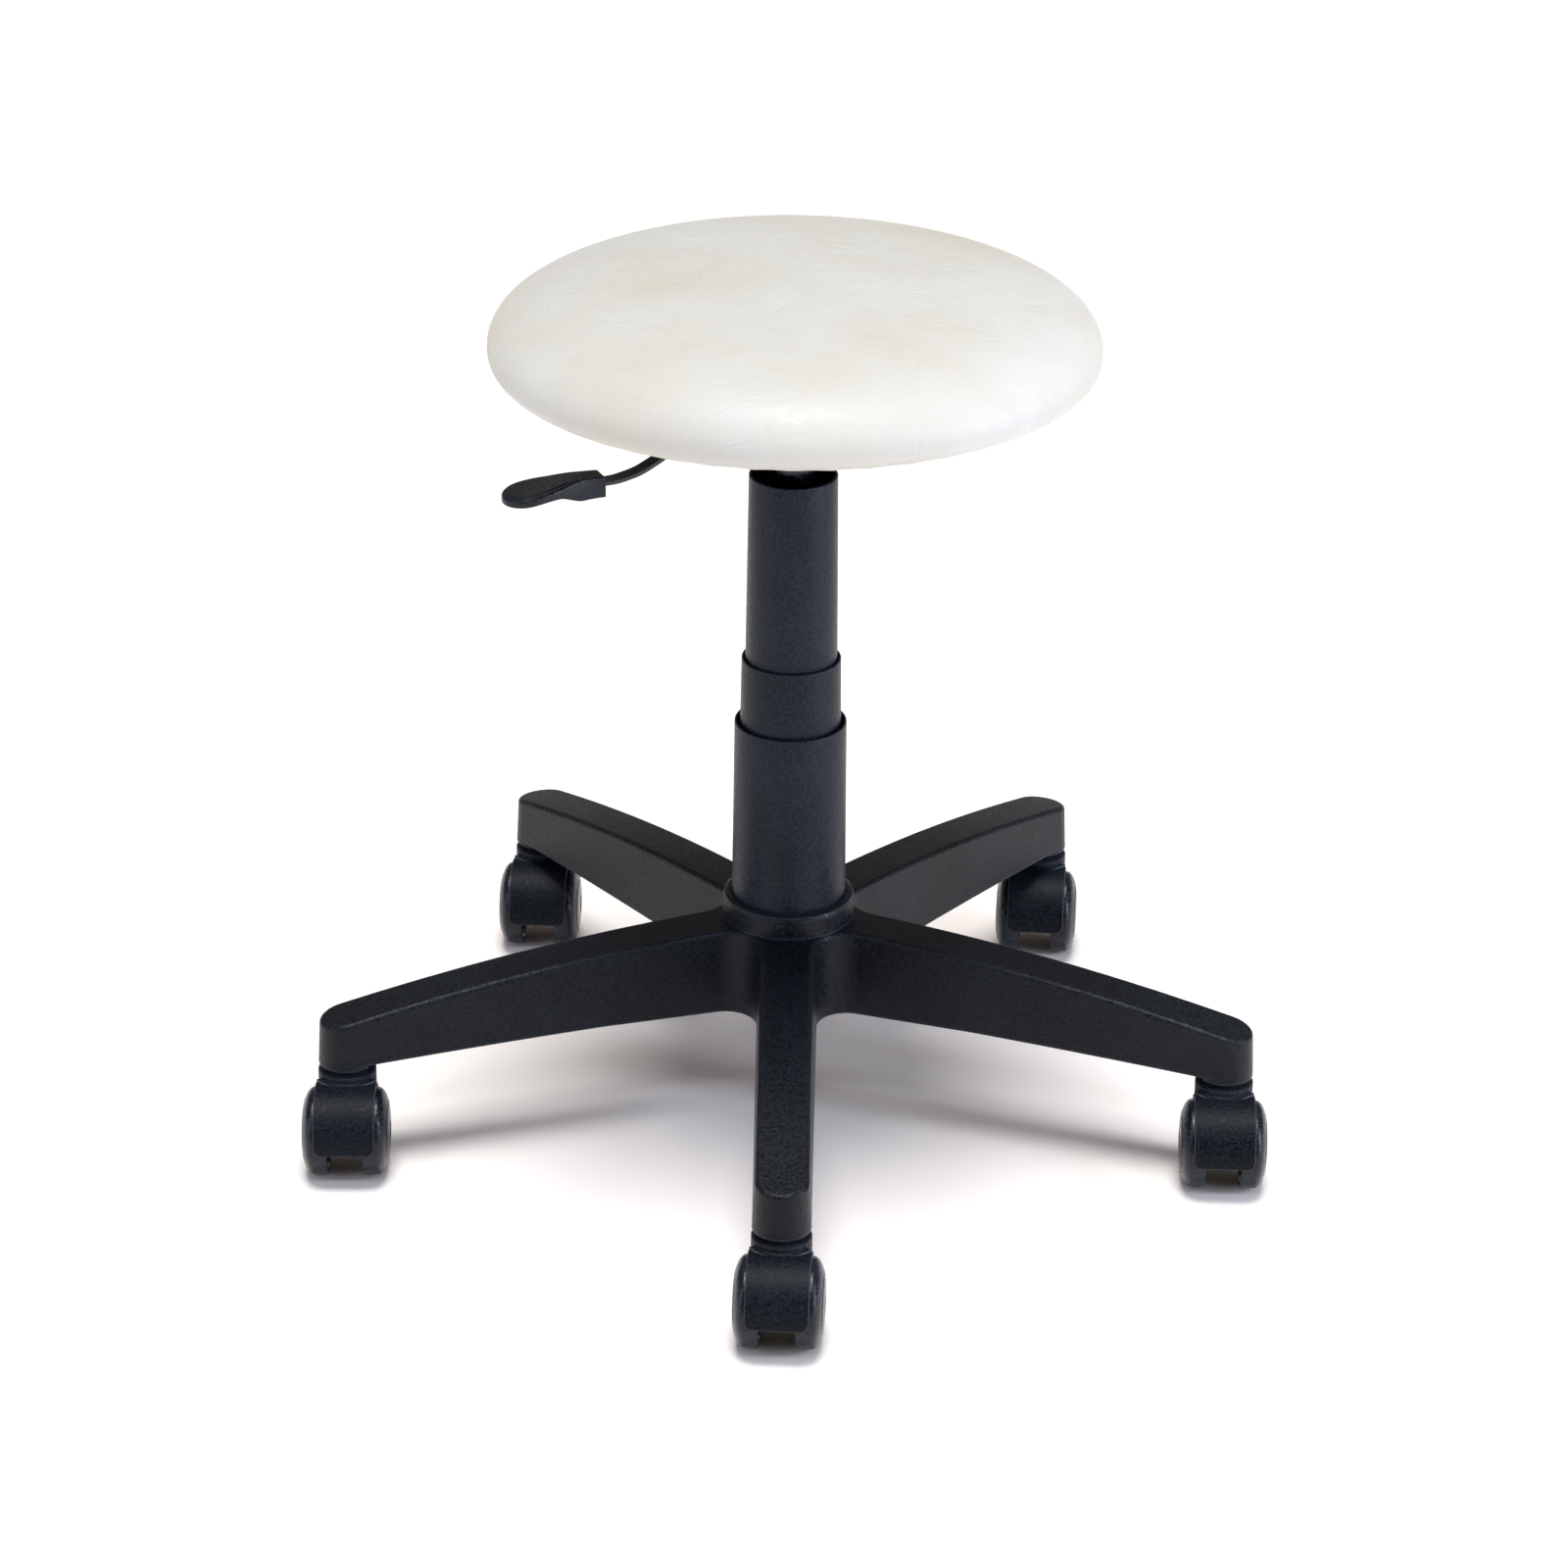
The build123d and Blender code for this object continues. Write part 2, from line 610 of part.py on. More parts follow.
PADDLE_U = HANDLE_TIP - PADDLE_HALF
with BuildPart() as lever_handle:
    with BuildSketch(lever_plane(HANDLE_BOTTOM - 10)):
        with BuildLine():
            Spline(
                (HANDLE_BLOCK_END, 7), (HANDLE_BLOCK_END + 13, 7.6),
                (HANDLE_BLOCK_END + 35, 13.4), (PADDLE_U, PADDLE_HALF),
                tangents=[(1, 0), (1, 0)],
            )
            ThreePointArc((PADDLE_U, PADDLE_HALF), (HANDLE_TIP, 0), (PADDLE_U, -PADDLE_HALF))
            Spline(
                (PADDLE_U, -PADDLE_HALF), (HANDLE_BLOCK_END + 35, -13.4),
                (HANDLE_BLOCK_END + 13, -7.6), (HANDLE_BLOCK_END, -7),
                tangents=[(-1, 0), (-1, 0)],
            )
            Line((HANDLE_BLOCK_END, -7), (HANDLE_BLOCK_END, 7))
        make_face()
    extrude(amount=40)
    with BuildSketch(lever_side):
        with BuildLine():
            Line((HANDLE_BLOCK_END, HANDLE_BOTTOM), (HANDLE_BLOCK_END, HANDLE_TOP))
            Spline(
                (HANDLE_BLOCK_END, HANDLE_TOP), (HANDLE_BLOCK_END + 16, HANDLE_TOP + 0.7),
                (HANDLE_BLOCK_END + 38, HANDLE_TOP - 1.2), (HANDLE_TIP + 1, HANDLE_TOP - 5.2),
            )
            Line(
                (HANDLE_TIP + 1, HANDLE_TOP - 5.2),
                (HANDLE_TIP + 1, HANDLE_TOP - 10.2),
            )
            Spline(
                (HANDLE_TIP + 1, HANDLE_TOP - 10.2), (HANDLE_BLOCK_END + 44, HANDLE_TOP - 7.6),
                (HANDLE_BLOCK_END + 32, HANDLE_TOP - 7.4),
                (HANDLE_BLOCK_END + 15, HANDLE_BOTTOM),
                tangents=[(-1, 0.2), (-1, -0.1)],
            )
            Line((HANDLE_BLOCK_END + 15, HANDLE_BOTTOM), (HANDLE_BLOCK_END, HANDLE_BOTTOM))
        make_face()
    extrude(amount=20, both=True, mode=Mode.INTERSECT)
    add(lever_strip.part, mode=Mode.SUBTRACT)
save(lever_handle, "lever_handle")

# ---- Casters: stem and grip ring in the base, hood that swivels, two wheels ----

caster_side = Plane(origin=(0, 0, 0), x_dir=(0, 1, 0), z_dir=(1, 0, 0))
AXLE_POINT = (-TRAIL, WHEEL_R)
AXLE_CENTRE = Vector(0, -TRAIL, WHEEL_R)

FLARE_R = COLLAR_R + COLLAR_FLARE
FLARE_Z = COLLAR_Z - COLLAR_FLARE
with BuildPart() as collar_flare:
    with BuildSketch(Plane.XZ):
        with BuildLine():
            Polyline((0, COLLAR_Z), (0, 48), (FLARE_R, 48), (FLARE_R, FLARE_Z))
            RadiusArc((FLARE_R, FLARE_Z), (COLLAR_R, COLLAR_Z), COLLAR_FLARE)
            Line((COLLAR_R, COLLAR_Z), (0, COLLAR_Z))
        make_face()
    revolve(axis=Axis.Z)
    with BuildSketch(Plane.XY.offset(47)):
        with Locations((0, -20)):
            Rectangle(2 * HOOD_HALF, 20)
    extrude(amount=20, mode=Mode.INTERSECT)

with BuildPart() as hood:
    with BuildSketch(caster_side):
        with Locations(AXLE_POINT):
            Circle(HOOD_R)
            Circle(HOOD_R - HOOD_SKIN, mode=Mode.SUBTRACT)
    extrude(amount=HOOD_HALF, both=True)
    with BuildSketch(Plane.XZ) as hood_front:
        with Locations((0, HOOD_FOOT + 20)):
            Rectangle(2 * HOOD_HALF, 40)
        fillet(hood_front.vertices().group_by(Axis.Y)[0], HOOD_CORNER)
    extrude(amount=100, both=True, mode=Mode.INTERSECT)
    rim_edges = hood.edges().filter_by(
        lambda e: all(
            abs((e @ t - AXLE_CENTRE).cross(Vector(1, 0, 0)).length - HOOD_R) < 0.02
            for t in (0.1, 0.5, 0.9)
        )
    )
    fillet(rim_edges, HOOD_EDGE)
    with BuildSketch(Plane.XY.offset(20)):
        with Locations((0, 20 - TRAIL + 18)):
            Rectangle(60, 40)
    extrude(amount=18, mode=Mode.SUBTRACT)
    with BuildSketch(Plane.XY.offset(41)):
        Circle(COLLAR_R)
    extrude(amount=COLLAR_Z - 41)
    add(collar_flare.part)
    with BuildSketch(caster_side):
        with Locations(AXLE_POINT):
            Circle(HOOD_R - HOOD_SKIN)
    extrude(amount=HOOD_HALF + 5, both=True, mode=Mode.SUBTRACT)
    add(
        turned(
            (0, COLLAR_Z), (COLLAR_R, COLLAR_Z), (COLLAR_R - 0.5, COLLAR_Z + 0.9),
            (COLLAR_FACE_R, COLLAR_FACE_Z), (0, COLLAR_FACE_Z),
        ).part
    )
    with BuildSketch(caster_side) as web:
        with Locations(AXLE_POINT):
            Circle(HOOD_R - HOOD_SKIN / 2)
        with Locations((-TRAIL, 4.9)):
            Rectangle(80, 20, mode=Mode.SUBTRACT)
        with BuildLine():
            Polyline((-60, 10), (-60, 25.6), (-44, 25.6), (-30, 14.9), (-30, 10), close=True)
        make_face(mode=Mode.SUBTRACT)
    extrude(amount=WEB_HALF, both=True)
    with BuildSketch(Plane.XY.offset(24)):
        Circle(WEB_HALF - 0.2)
    extrude(amount=COLLAR_Z - 24)
    with BuildSketch(caster_side):
        with Locations(AXLE_POINT):
            Circle(AXLE_R)
    extrude(amount=HOOD_HALF, both=True, mode=Mode.SUBTRACT)
    with BuildSketch(Plane.XY.offset(30)):
        Circle(STEM_R + RUNNING)
    extrude(amount=60, mode=Mode.SUBTRACT)

with BuildPart() as wheel_right:
    with BuildSketch(Plane(AXLE_CENTRE)):
        with BuildLine():
            Polyline(
                (24, 0), (24, AXLE_R + RUNNING), (WHEEL_INNER, AXLE_R + RUNNING),
                (WHEEL_INNER, 9), (21, 9), (21, 22.5), (WHEEL_INNER, 23.5),
                (WHEEL_INNER, WHEEL_R - 1), (WHEEL_INNER + 1, WHEEL_R),
                (WHEEL_OUTER - WHEEL_DOME, WHEEL_R),
            )
            EllipticalCenterArc(
                (WHEEL_OUTER - WHEEL_DOME, DOME_FLAT),
                WHEEL_DOME, WHEEL_R - DOME_FLAT, start_angle=0, arc_size=90,
            )
            Polyline((WHEEL_OUTER, DOME_FLAT), (WHEEL_OUTER, 0), (24, 0))
        make_face()
    revolve(axis=Axis((0, -TRAIL, WHEEL_R), (1, 0, 0)))

with BuildPart() as wheel_left:
    mirror(wheel_right.part, about=Plane.YZ)

with BuildPart() as axle:
    with BuildSketch(caster_side):
        with Locations(AXLE_POINT):
            Circle(AXLE_R)
    extrude(amount=23.6, both=True)

with BuildPart() as caster_stems:
    with BuildSketch(Plane.XY.offset(31)):
        with Locations(*stem_points):
            Circle(STEM_R)
    extrude(amount=BOSS_Z + 22.5 - 31)
    with BuildSketch(Plane.XY.offset(COLLAR_FACE_Z + 0.4)):
        with Locations(*stem_points):
            Circle(9.0)
    extrude(amount=BOSS_Z - COLLAR_FACE_Z - 0.4)
    with BuildSketch(Plane.XY.offset(BOSS_Z + 14)):
        with Locations(*stem_points):
            Circle(STEM_R)
            Circle(STEM_R - 0.9, mode=Mode.SUBTRACT)
    extrude(amount=5, mode=Mode.SUBTRACT)
save(caster_stems, "caster_stems")

with BuildPart() as grip_rings:
    with BuildSketch(Plane.XY.offset(BOSS_Z + 14.2)):
        with Locations(*stem_points):
            Circle(STEM_R)
            Circle(STEM_R - 0.9, mode=Mode.SUBTRACT)
            with Locations((0, STEM_R)):
                Rectangle(1.6, 4, mode=Mode.SUBTRACT)
    extrude(amount=4.6)
save(grip_rings, "grip_rings")

for number, (x, y) in enumerate(stem_points, start=1):
    turn = CASTER_TWIST[number - 1]
    save(hood, f"caster_{number}_hood", x, y, turn)
    save(axle, f"caster_{number}_axle", x, y, turn)
    save(wheel_left, f"caster_{number}_wheel_left", x, y, turn)
    save(wheel_right, f"caster_{number}_wheel_right", x, y, turn)
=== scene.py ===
# %% [markdown]
# # A round salon stool
#
# The stool is a padded vinyl disc on a gas lift. Three telescoping covers hide the column, a
# bent steel lever releases it, and a five-arm moulded base rolls on twin-wheel casters. The
# frame holds every engineered part at its real size and place. This lesson dresses that
# frame: it remakes the soft seat and the pieces whose surface is seen close up, and gives
# every part the finish it has when it leaves the factory.

from math import atan2, cos, degrees, pi, radians, sin

import bmesh
import bpy
import numpy as np
from mathutils import Matrix, Vector


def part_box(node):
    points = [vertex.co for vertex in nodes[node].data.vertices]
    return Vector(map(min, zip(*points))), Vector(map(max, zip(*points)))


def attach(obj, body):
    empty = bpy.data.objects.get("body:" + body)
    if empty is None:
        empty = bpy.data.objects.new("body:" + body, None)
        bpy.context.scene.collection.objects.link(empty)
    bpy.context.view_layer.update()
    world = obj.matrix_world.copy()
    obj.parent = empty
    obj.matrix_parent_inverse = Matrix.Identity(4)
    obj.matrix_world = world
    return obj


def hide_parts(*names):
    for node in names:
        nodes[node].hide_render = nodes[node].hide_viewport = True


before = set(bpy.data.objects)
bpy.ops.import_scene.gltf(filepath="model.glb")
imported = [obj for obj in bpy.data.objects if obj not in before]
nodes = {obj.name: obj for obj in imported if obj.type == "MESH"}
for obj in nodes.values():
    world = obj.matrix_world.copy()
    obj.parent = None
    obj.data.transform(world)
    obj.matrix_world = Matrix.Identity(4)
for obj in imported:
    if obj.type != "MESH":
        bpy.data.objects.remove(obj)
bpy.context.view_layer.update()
MM = 0.001

# %% [markdown]
# ## Measuring the frame
#
# New pieces take their sizes from the engineered parts that they stand for. A part's box gives
# its overall size, and its vertices tell the rest. They could be read one by one, but copying
# them all at once into one array is far quicker, and numpy then measures them in one step.

# %% Measure a part
def vectors(mesh, kind="co"):
    """The points of a mesh, or with kind "normal" its normals, one row per vertex."""
    flat = np.empty(3 * len(mesh.vertices))
    mesh.vertices.foreach_get(kind, flat)
    return flat.reshape(-1, 3)


def corners(node):
    """The points of a part's mesh."""
    return vectors(nodes[node].data)


seat_low, seat_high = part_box("seat_cover")
SEAT_R = (seat_high.x - seat_low.x) / 2
print("seat radius", round(SEAT_R / MM, 1), "mm, top at", round(seat_high.z / MM, 1), "mm")

# %% [markdown]
# ## Colours and nodes
#
# A colour picked from a swatch is sRGB, but the renderer adds light in linear numbers, so
# every hex value passes through one function.

# %% Colours
def linear(code):
    """A hex colour as linear red, green, blue and alpha. Each channel is the sRGB curve
    undone: a straight line near black and a 2.4 power above it."""
    channel = np.array([int(code[i : i + 2], 16) for i in (1, 3, 5)]) / 255
    light = np.where(channel <= 0.04045, channel / 12.92, ((channel + 0.055) / 1.055) ** 2.4)
    return (*light.tolist(), 1.0)


print("a mid grey swatch is", round(linear("#808080")[0], 3), "in linear light")

# %% [markdown]
# A finish is a small tree of nodes. Building it by hand in the editor would hide how it works,
# so one short function adds a node with its settings and links, and every finish uses it. The
# values that are the same all over a surface go straight to the shader's sockets.

# %% Nodes
def add(tree, kind, inputs=None, **settings):
    """Adds one node. Settings are its properties, and inputs its sockets, each a value or
    the socket of another node."""
    made = tree.nodes.new(kind)
    for name, value in settings.items():
        setattr(made, name, value)
    for name, value in (inputs or {}).items():
        if isinstance(value, bpy.types.NodeSocket):
            tree.links.new(value, made.inputs[name])
        else:
            made.inputs[name].default_value = value
    return made


def finish_named(name, **sockets):
    """A new material, its tree and its shader, with these values on the shader's sockets."""
    material = bpy.data.materials.new(name)
    material.use_nodes = True
    tree = material.node_tree
    shader = tree.nodes["Principled BSDF"]
    for socket, value in sockets.items():
        shader.inputs[socket.replace("_", " ")].default_value = value
    return material, tree, shader


print("node tools ready")

# %% [markdown]
# Almost every real surface varies a little from place to place. Noise in the object's own
# space gives that without any seams, and its scale can be said in millimetres.

# %% Speckle
def speckle(tree, size, detail=2.0, contrast=(0.35, 0.65)):
    """Grey noise in the object's own space, with features of a real size in metres. The two
    contrast values are the noise levels that become black and white."""
    place = add(tree, "ShaderNodeTexCoord").outputs["Object"]
    noise = add(
        tree, "ShaderNodeTexNoise", {"Vector": place, "Scale": 1 / size, "Detail": detail}
    )
    return add(
        tree, "ShaderNodeMapRange",
        {"Value": noise.outputs["Fac"], "From Min": contrast[0], "From Max": contrast[1]},
    ).outputs["Result"]


print("speckle ready")

# %% [markdown]
# ## Moulded nylon with a spark-eroded grain
#
# The base, hoods and covers are injection moulded in black glass-filled nylon or
# polypropylene. The tool steel was spark eroded, which leaves a fine even grit of about
# 0.3 mm. The eye gets a soft charcoal rather than a black, and small glints that break up
# every highlight. Real grit is too fine to show on a whole stool, so it is drawn about five
# times as coarse.
#
# The grain runs out at the outer edges, and hands polish them, so they are made smoother there.
# They are also painted paler there, a painted highlight along each edge. Painting those edges
# would need a texture for each part. A rounded normal finds them by itself: it leaves the flat
# normal only close to an edge.

# %% Edges
def edge_mask(tree, size):
    """1 along outer edges, within a real size in metres, and 0 on flats. It rises as the
    cosine of the angle between the rounded and the flat normal falls from 0.995 to 0.94."""
    wide = add(tree, "ShaderNodeBevel", {"Radius": size}, samples=6)
    flat = add(tree, "ShaderNodeNewGeometry").outputs["Normal"]
    cosine = add(
        tree, "ShaderNodeVectorMath", {0: wide.outputs["Normal"], 1: flat},
        operation="DOT_PRODUCT",
    ).outputs["Value"]
    return add(
        tree, "ShaderNodeMapRange", {"Value": cosine, "From Min": 0.995, "From Max": 0.94}
    ).outputs["Result"]


print("edge mask ready")

# %% [markdown]
# The colour runs from dark to light with the grit and, more faintly, with wide clouds. The
# same grit drives the gloss and the bump, so a raised grain is paler, duller and higher, as a
# real one is.

# %% Textured nylon
POLISH = 0.16


def textured_nylon(name, dark, light, grain, depth, roughness, shine, edge_size, painted_highlight):
    """Black moulded plastic with a grain of a real size and depth in metres. Shine is the
    strength of the mirror part, since grit scatters most of it. At the edges the colour goes
    0.6 of the way to a pale colour, a painted highlight, and the roughness falls by POLISH."""
    material, tree, shader = finish_named(name, IOR=1.5, Specular_IOR_Level=shine)
    grit = speckle(tree, grain, detail=3.0, contrast=(0.38, 0.62))
    cloud = speckle(tree, 70 * MM, detail=3.0, contrast=(0.3, 0.7))
    faint = add(tree, "ShaderNodeMath", {0: cloud, 1: 0.4}, operation="MULTIPLY")
    tone = add(
        tree, "ShaderNodeMath", {0: grit, 1: 0.7, 2: faint.outputs[0]}, operation="MULTIPLY_ADD"
    )
    body = add(
        tree, "ShaderNodeMix",
        {"Factor": tone.outputs[0], "A": linear(dark), "B": linear(light)}, data_type="RGBA",
    )
    edge = edge_mask(tree, edge_size)
    # The pale colour mixed in along the edges is a painted highlight.
    highlight_share = add(tree, "ShaderNodeMath", {0: edge, 1: 0.6}, operation="MULTIPLY")
    with_highlight = add(
        tree, "ShaderNodeMix",
        {"Factor": highlight_share.outputs[0], "A": body.outputs["Result"], "B": linear(painted_highlight)},
        data_type="RGBA",
    )
    tree.links.new(with_highlight.outputs["Result"], shader.inputs["Base Color"])
    gloss = add(
        tree, "ShaderNodeMapRange",
        {"Value": grit, "To Min": roughness - 0.08, "To Max": roughness + 0.08},
    )
    smoother = add(
        tree, "ShaderNodeMath", {0: edge, 1: -POLISH, 2: gloss.outputs["Result"]},
        operation="MULTIPLY_ADD",
    )
    tree.links.new(smoother.outputs[0], shader.inputs["Roughness"])
    narrow = add(tree, "ShaderNodeBevel", {"Radius": 0.5 * MM}, samples=4)
    bump = add(
        tree, "ShaderNodeBump",
        {"Height": grit, "Distance": depth, "Strength": 0.7, "Normal": narrow.outputs["Normal"]},
    )
    tree.links.new(bump.outputs["Normal"], shader.inputs["Normal"])
    return material


print("nylon recipe ready")

# %% [markdown]
# The same recipe serves every black moulding. The base and the polypropylene covers share one
# grain, the hoods are blasted matt, and the wheels and the paddle come from smoother moulds,
# so they are glossier and their grain is shallow.

# %% Black mouldings
# The last colour of each finish is painted along its edges as a painted highlight.
base_nylon = textured_nylon(
    "base_nylon", "#010204", "#161D25", grain=1.7 * MM, depth=0.2 * MM, roughness=0.40,
    shine=0.19, edge_size=2.2 * MM, painted_highlight="#39424F",
)
cover_plastic = textured_nylon(
    "cover_plastic", "#04070B", "#1E2734", grain=1.7 * MM, depth=0.2 * MM, roughness=0.38,
    shine=0.16, edge_size=0.8 * MM, painted_highlight="#59616D",
)
hood_nylon = textured_nylon(
    "hood_nylon", "#000102", "#171D26", grain=1.6 * MM, depth=0.16 * MM, roughness=0.46,
    shine=0.10, edge_size=0.9 * MM, painted_highlight="#757D89",
)
wheel_nylon = textured_nylon(
    "wheel_nylon", "#03060A", "#18202C", grain=1.8 * MM, depth=0.08 * MM, roughness=0.28,
    shine=0.28, edge_size=0.5 * MM, painted_highlight="#2A323D",
)
handle_plastic = textured_nylon(
    "handle_plastic", "#04070B", "#1B2330", grain=1.4 * MM, depth=0.06 * MM, roughness=0.34,
    shine=0.24, edge_size=0.8 * MM, painted_highlight="#3C4450",
)
print("nylon finishes", [m.name for m in bpy.data.materials])

# %% [markdown]
# ## Upholstery vinyl
#
# The seat is covered in ivory upholstery vinyl: a knitted backing under a soft PVC skin that
# was embossed with a fine leather grain and sprayed with a satin top coat. The real cells are
# about 1 mm wide, and they are drawn at 1.8 mm so that they show on the whole seat. Wide warm
# clouds give ivory its tint, a low swell is the foam pressing through, and a few shallow
# creases wander across where people sit.
#
# A crease is a thin line, and noise has none, but the places where smooth noise crosses its
# middle value are lines that wander and close on themselves.

# %% Creases
CREASE_SPACING = 110 * MM
CREASE_HALF = 0.016


def creases(tree, place):
    """0 along the creases and 1 between them: how far a stretched noise is from its middle
    value, up to CREASE_HALF."""
    drawn = add(tree, "ShaderNodeMapping", {"Vector": place, "Scale": (1.0, 2.2, 1.0)})
    fold = add(
        tree, "ShaderNodeTexNoise",
        {"Vector": drawn.outputs["Vector"], "Scale": 1 / CREASE_SPACING, "Detail": 2.0,
         "Distortion": 1.2},
    )
    middle = add(tree, "ShaderNodeMath", {0: fold.outputs["Fac"], 1: 0.5}, operation="SUBTRACT")
    near = add(tree, "ShaderNodeMath", {0: middle.outputs[0]}, operation="ABSOLUTE")
    return add(
        tree, "ShaderNodeMapRange",
        {"Value": near.outputs[0], "From Min": 0.0, "From Max": CREASE_HALF},
    ).outputs["Result"]


print("creases about", round(CREASE_SPACING / MM), "mm apart")

# %% [markdown]
# The vinyl stacks three bumps, coarse to fine: creases, swell and cells. Each takes the one
# before as its normal, so they add up instead of replacing each other.

# %% Vinyl
CELL = 1.8 * MM


def upholstery_vinyl():
    """Ivory vinyl: embossed cells, faint warm clouds, shallow creases and a satin coat."""
    material, tree, shader = finish_named(
        "ivory_vinyl", Specular_IOR_Level=0.2, IOR=1.5, Coat_Weight=0.04, Coat_Roughness=0.3,
    )
    place = add(tree, "ShaderNodeTexCoord").outputs["Object"]
    cells = add(
        tree, "ShaderNodeTexVoronoi", {"Vector": place, "Scale": 1 / CELL},
        feature="SMOOTH_F1",
    )
    cloud = speckle(tree, 75 * MM, detail=5.0, contrast=(0.36, 0.80))
    tint = add(
        tree, "ShaderNodeMix",
        {"Factor": cloud, "A": linear("#C8C9C5"), "B": linear("#C3BFB2")}, data_type="RGBA",
    )
    tree.links.new(tint.outputs["Result"], shader.inputs["Base Color"])
    gloss = add(
        tree, "ShaderNodeMapRange",
        {"Value": speckle(tree, 9 * MM), "To Min": 0.40, "To Max": 0.52},
    )
    tree.links.new(gloss.outputs["Result"], shader.inputs["Roughness"])
    soft = add(
        tree, "ShaderNodeBump",
        {"Height": creases(tree, place), "Distance": 0.5 * MM, "Strength": 0.35},
    )
    swell = add(
        tree, "ShaderNodeBump",
        {"Height": speckle(tree, 45 * MM, detail=3.0, contrast=(0.25, 0.75)),
         "Distance": 2.0 * MM, "Strength": 0.35, "Normal": soft.outputs["Normal"]},
    )
    bump = add(
        tree, "ShaderNodeBump",
        {"Height": cells.outputs["Distance"], "Distance": 0.16 * MM, "Strength": 0.6,
         "Normal": swell.outputs["Normal"]},
    )
    tree.links.new(bump.outputs["Normal"], shader.inputs["Normal"])
    return material


ivory_vinyl = upholstery_vinyl()
print("made", ivory_vinyl.name)

# %% [markdown]
# ## Metals and the parts that hide
#
# Two recipes do for everything under the seat and inside the column. The first is bare metal,
# whose colour lies in its reflection. Ground steel is plain and shiny, black chrome on the
# gas cylinder is a dark mirror, and zinc plate is bright with a patchy crystal bloom.

# %% Metals
def metal(name, dark, light, roughness, patch):
    """Bare or plated metal: colour and gloss wander over patches of a real size."""
    material, tree, shader = finish_named(name, Metallic=1.0)
    mask = speckle(tree, patch, detail=4.0)
    colour = add(
        tree, "ShaderNodeMix", {"Factor": mask, "A": linear(dark), "B": linear(light)},
        data_type="RGBA",
    )
    tree.links.new(colour.outputs["Result"], shader.inputs["Base Color"])
    gloss = add(
        tree, "ShaderNodeMapRange",
        {"Value": mask, "To Min": roughness - 0.06, "To Max": roughness + 0.08},
    )
    tree.links.new(gloss.outputs["Result"], shader.inputs["Roughness"])
    return material


black_chrome = metal("black_chrome", "#2E3136", "#43474E", 0.2, 6.0 * MM)
bright_steel = metal("ground_steel", "#A9ACB0", "#C4C6C9", 0.26, 4.0 * MM)
zinc_plate = metal("zinc_plate", "#9C9A90", "#C7C4B6", 0.34, 2.5 * MM)
print("metals", [m.name for m in (black_chrome, bright_steel, zinc_plate)])

# %% [markdown]
# The second recipe is a skin whose colour lies under its gloss. Powder coat flows out as it
# is baked and keeps a faint orange peel of about 2 mm, so its highlights wobble. Black oxide
# on the lever strip is an oily near-black. Acetal looks waxy, rubber and the non-woven dust
# cover are dull, and open foam has hardly any shine.

# %% Coatings, rubber and foam
def coated(name, dark, light, roughness, peel, depth):
    """A dull or glossy skin over something else, with a surface ripple of a real size."""
    material, tree, shader = finish_named(name, Roughness=roughness)
    mask = speckle(tree, peel)
    colour = add(
        tree, "ShaderNodeMix", {"Factor": mask, "A": linear(dark), "B": linear(light)},
        data_type="RGBA",
    )
    tree.links.new(colour.outputs["Result"], shader.inputs["Base Color"])
    bump = add(tree, "ShaderNodeBump", {"Height": mask, "Distance": depth, "Strength": 0.5})
    tree.links.new(bump.outputs["Normal"], shader.inputs["Normal"])
    return material


powder_coat = coated("powder_coat", "#0E0F10", "#17181A", 0.35, 2.0 * MM, 0.05 * MM)
black_oxide = coated("black_oxide_steel", "#0B0C0E", "#15171A", 0.3, 3.0 * MM, 0.02 * MM)
bushing_acetal = coated("bushing_acetal", "#202022", "#2A2A2C", 0.4, 1.0 * MM, 0.02 * MM)
seal_rubber = coated("seal_rubber", "#0C0C0C", "#161616", 0.75, 0.8 * MM, 0.04 * MM)
dust_cloth = coated("dust_cloth", "#08090A", "#1B1C1E", 0.9, 0.7 * MM, 0.12 * MM)
foam_block = coated("foam_block", "#D9C79A", "#E6D8B2", 0.95, 1.0 * MM, 0.15 * MM)
print("materials", len(bpy.data.materials))

# %% [markdown]
# ## Plywood
#
# The seat board is birch plywood cut on a router. It is hidden between foam and dust cover,
# so long soft grain is enough: noise squeezed along two directions and drawn out along the
# third.

# %% Plywood
def birch_plywood():
    """Grain in bands 8 mm wide, drawn out about sixteen times as long."""
    material, tree, shader = finish_named("birch_plywood", Roughness=0.6)
    place = add(tree, "ShaderNodeTexCoord").outputs["Object"]
    drawn = add(tree, "ShaderNodeMapping", {"Vector": place, "Scale": (0.06, 1.0, 1.0)})
    grain = add(
        tree, "ShaderNodeTexNoise",
        {"Vector": drawn.outputs["Vector"], "Scale": 1 / (8 * MM), "Detail": 5.0},
    )
    colour = add(
        tree, "ShaderNodeMix",
        {"Factor": grain.outputs["Fac"], "A": linear("#B98F5C"), "B": linear("#D9B888")},
        data_type="RGBA",
    )
    tree.links.new(colour.outputs["Result"], shader.inputs["Base Color"])
    return material


plywood = birch_plywood()
print("made", plywood.name)

# %% [markdown]
# ## Which part wears which finish
#
# A table is the clearest place for this: the parts are grouped by finish. Parts that are
# remade below are dressed here as well, so that none is left without a finish.

# %% Dress the parts
CASTERS = range(1, 6)


def dress(piece, material):
    """Makes a material the only one on a piece."""
    piece.data.materials.clear()
    piece.data.materials.append(material)


